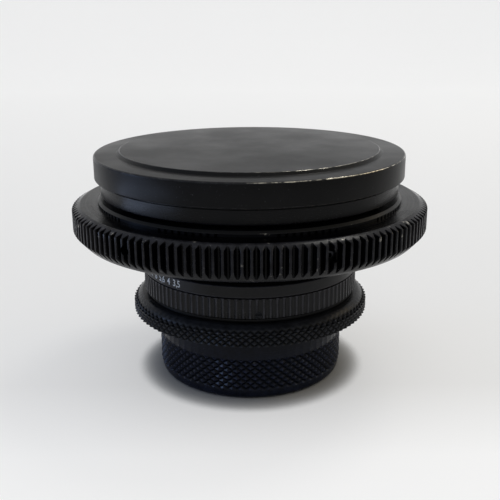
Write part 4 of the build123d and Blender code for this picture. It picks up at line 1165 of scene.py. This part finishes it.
index_stations = [INDEX_AZIMUTH + side * math.degrees(INDEX_WIDTH / 2 / INDEX_R[1]) for side in (-1, 1)]
near, far = INDEX_R
low, high = INDEX_Z
index_corners = ((near, low), (far, low), (far, high), (near, high))
index_shape = grid_shape([plain_row(index_stations, *corner) for corner in index_corners])
bmesh.ops.holes_fill(index_shape, edges=index_shape.edges, sides=4)
index_line = close_and_shade(as_object("index_line", index_shape))
index_line.data.materials.append(SCALE_FINISH)
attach(index_line, "lens_body")

# %% [markdown]
# ## Floor, light and camera
#
# The lens stands on a pale sweep of paper that curves up behind it. Most of the light is a wide soft
# dome, brighter above and behind than at the camera's side, because a black object is drawn by what it
# reflects: the bright back gives the grazing rims, and the darker front keeps the walls deep. The paper
# carries painted shade: its colour is dimmest under the lens and beside it, and lighter both towards the
# eye and far behind, and its own glow is darkened near the lens as a painted shadow.

# %% The paper sweep
SWEEP_FRONT_Y = -2.5
SWEEP_BEND_Y = 0.9
SWEEP_RADIUS = 0.6
SWEEP_TOP = 2.0
SWEEP_HALF_WIDTH = 2.6
BEND_STEPS = 16


def paper_sweep():
    """Floor and backdrop in one sheet."""
    line = [(SWEEP_FRONT_Y, 0.0), (SWEEP_BEND_Y, 0.0)]
    for i in range(1, BEND_STEPS + 1):
        lean = math.pi / 2 * i / BEND_STEPS
        line.append((SWEEP_BEND_Y + SWEEP_RADIUS * math.sin(lean), SWEEP_RADIUS * (1 - math.cos(lean))))
    line.append((SWEEP_BEND_Y + SWEEP_RADIUS, SWEEP_TOP))
    shape = bmesh.new()
    sides = [[shape.verts.new((x, y, z)) for y, z in line] for x in (-SWEEP_HALF_WIDTH, SWEEP_HALF_WIDTH)]
    for i in range(len(line) - 1):
        shape.faces.new((sides[0][i], sides[1][i], sides[1][i + 1], sides[0][i + 1]))
    return as_object("paper_sweep", shape)


PAPER_GLOW = 0.62
PAPER_LEVEL = 1.08
# Painted shadow: how far and how strongly occlusion darkens the paper's own glow, over a wide reach and at
# the contact.
WIDE_PAINTED_SHADOW_MM, WIDE_PAINTED_SHADOW_POWER = 42.0, 0.22
CONTACT_PAINTED_SHADOW_MM, CONTACT_PAINTED_SHADOW_POWER = 9.0, 8.0
# Painted shade: a dimmer paper colour, and the depths over which it fades to full white in front and behind.
PAPER_PAINTED_SHADE = "#E5E5E5"
PAINTED_SHADE_FRONT_Y = (-0.062, -0.020)
PAINTED_SHADE_BACK_Y = (0.12, 0.90)


def paper():
    """Matt paper, a trace uneven, with painted shade and a painted shadow around the lens; part of its white
    is its own.
    """
    material, tree, shader = new_finish("matt_paper_painted_shade")
    place = add_node(tree, "ShaderNodeNewGeometry").outputs["Position"]
    depth = add_node(tree, "ShaderNodeSeparateXYZ", {"Vector": place}).outputs["Y"]
    # Painted shade: the paper's colour is dimmer in a band of depth under and beside the lens.
    front = spread(tree, depth, 1.0, 0.0, *PAINTED_SHADE_FRONT_Y)
    back = spread(tree, depth, 0.0, 1.0, *PAINTED_SHADE_BACK_Y)
    white = blend_colour(tree, noise(tree, 400.0), "#F4F4F4", "#F7F7F7")
    white = blend_colour(tree, maths(tree, "MAXIMUM", front, back), PAPER_PAINTED_SHADE, white)
    fill(tree, shader, {"Base Color": white, "Roughness": 0.9, "Specular IOR Level": 0.1})
    rays = add_node(tree, "ShaderNodeLightPath").outputs
    seen = maths(tree, "ADD", rays["Is Camera Ray"], rays["Is Glossy Ray"])
    seen = maths(tree, "ADD", seen, rays["Is Transmission Ray"], clamp=True)
    # Painted shadow: occlusion near the lens darkens the glow, softly over a wide reach and deeply at the
    # contact.
    level = PAPER_LEVEL
    for reach, power in ((WIDE_PAINTED_SHADOW_MM, WIDE_PAINTED_SHADOW_POWER), (CONTACT_PAINTED_SHADOW_MM, CONTACT_PAINTED_SHADOW_POWER)):
        painted_shadow_ao = add_node(tree, "ShaderNodeAmbientOcclusion", {"Distance": reach * MM}, samples=8)
        level = times(tree, maths(tree, "POWER", painted_shadow_ao.outputs["AO"], power), level)
    glow = add_node(tree, "ShaderNodeEmission", {"Color": white, "Strength": level})
    share = times(tree, seen, PAPER_GLOW)
    both = add_node(tree, "ShaderNodeMixShader", {0: share, 1: shader.outputs[0], 2: glow.outputs[0]})
    fill(tree, tree.nodes["Material Output"], {"Surface": both.outputs[0]})
    return material


sweep = paper_sweep()
sweep.data.shade_smooth()
sweep.data.materials.append(paper())
print("paper sweep", [round(v, 2) for v in sweep.dimensions], "metres")

# %% [markdown]
# The dome is a world colour that depends on the direction: its x gives the tint, its y and z the level.

# %% The soft dome
DOME_TOP = 0.95
DOME_BACK = 0.80
DOME_FRONT = 0.30
COOL = "#D6E2F4"
WARM = "#F6EEDC"

world = bpy.data.worlds.new("soft_dome")
bpy.context.scene.world = world
world.use_nodes = True
air = world.node_tree
direction = add_node(air, "ShaderNodeTexCoord").outputs["Generated"]
parts = add_node(air, "ShaderNodeSeparateXYZ", {"Vector": direction}).outputs
level = spread(air, parts["Y"], DOME_FRONT, DOME_BACK, -0.9, 0.9)
height = spread(air, parts["Z"], 0.0, 1.0, 0.1, 0.9)
level = add_node(air, "ShaderNodeMix", {"Factor": height, 2: level, 3: DOME_TOP}).outputs[0]
tint = blend_colour(air, spread(air, parts["X"], 0.0, 1.0, -0.9, 0.9), COOL, WARM)
fill(air, air.nodes["Background"], {"Color": tint, "Strength": level})
print("dome front, back and top", DOME_FRONT, DOME_BACK, DOME_TOP)

# %% [markdown]
# Four area lamps add direction: a large one overhead and a little behind for the shadow under the lens
# and the glow of the tops, a cool and a warm one at the sides, and a cool panel that lies on the paper
# at the left, because that is what a wall seen from above mirrors. The camera doesn't see the lamps.

# %% The lamps
def soft_lamp(name, place, size, watts, colour, aim=(0, 0, 0.04)):
    """A square area lamp, in metres and watts, that faces the lens or another aim."""
    light = bpy.data.lights.new(name, "AREA")
    light.size = size
    light.energy = watts
    light.color = linear(colour)[:3]
    lamp = in_scene(name, light)
    lamp.location = place
    away = lamp.location - Matrix.Translation(aim).translation
    lamp.rotation_euler = away.to_track_quat("Z", "Y").to_euler()
    lamp.visible_camera = False


soft_lamp("overhead_softbox", (0.42, 0.46, 1.10), 0.40, 3.5, "#FFFDF6")
soft_lamp("cool_side_lamp", (-0.95, -0.05, 0.20), 0.30, 1.7, "#A8C6FF")
soft_lamp("warm_side_lamp", (0.80, 0.25, 0.45), 0.35, 0.8, "#FFE9C4")
soft_lamp("cool_floor_panel", (-0.31, -0.08, 0.003), 0.22, 0.70, "#C0D6FF", (-0.31, -0.08, 1.0))

# %% [markdown]
# The camera was found from the circles of the rims: a 56 mm lens on a 36 mm sensor, 17.4 degrees down.

# %% The camera
CAMERA_PLACE = (0.05, -247.1, 116.8)
CAMERA_DOWN = 17.39
CAMERA_ROLL = -0.3
FOCAL_LENGTH = 55.92
SENSOR_WIDTH = 36.0

eye = bpy.data.cameras.new("product_camera")
eye.lens = FOCAL_LENGTH
eye.sensor_width = SENSOR_WIDTH
camera = in_scene("product_camera", eye)
camera.location = [v * MM for v in CAMERA_PLACE]
tilt = Matrix.Rotation(math.radians(90 - CAMERA_DOWN), 3, "X")
roll = Matrix.Rotation(math.radians(CAMERA_ROLL), 3, "Z")
camera.rotation_euler = (tilt @ roll).to_euler()
bpy.context.scene.camera = camera
bpy.context.scene.view_settings.view_transform = "Standard"
print("camera at", CAMERA_PLACE, "mm")
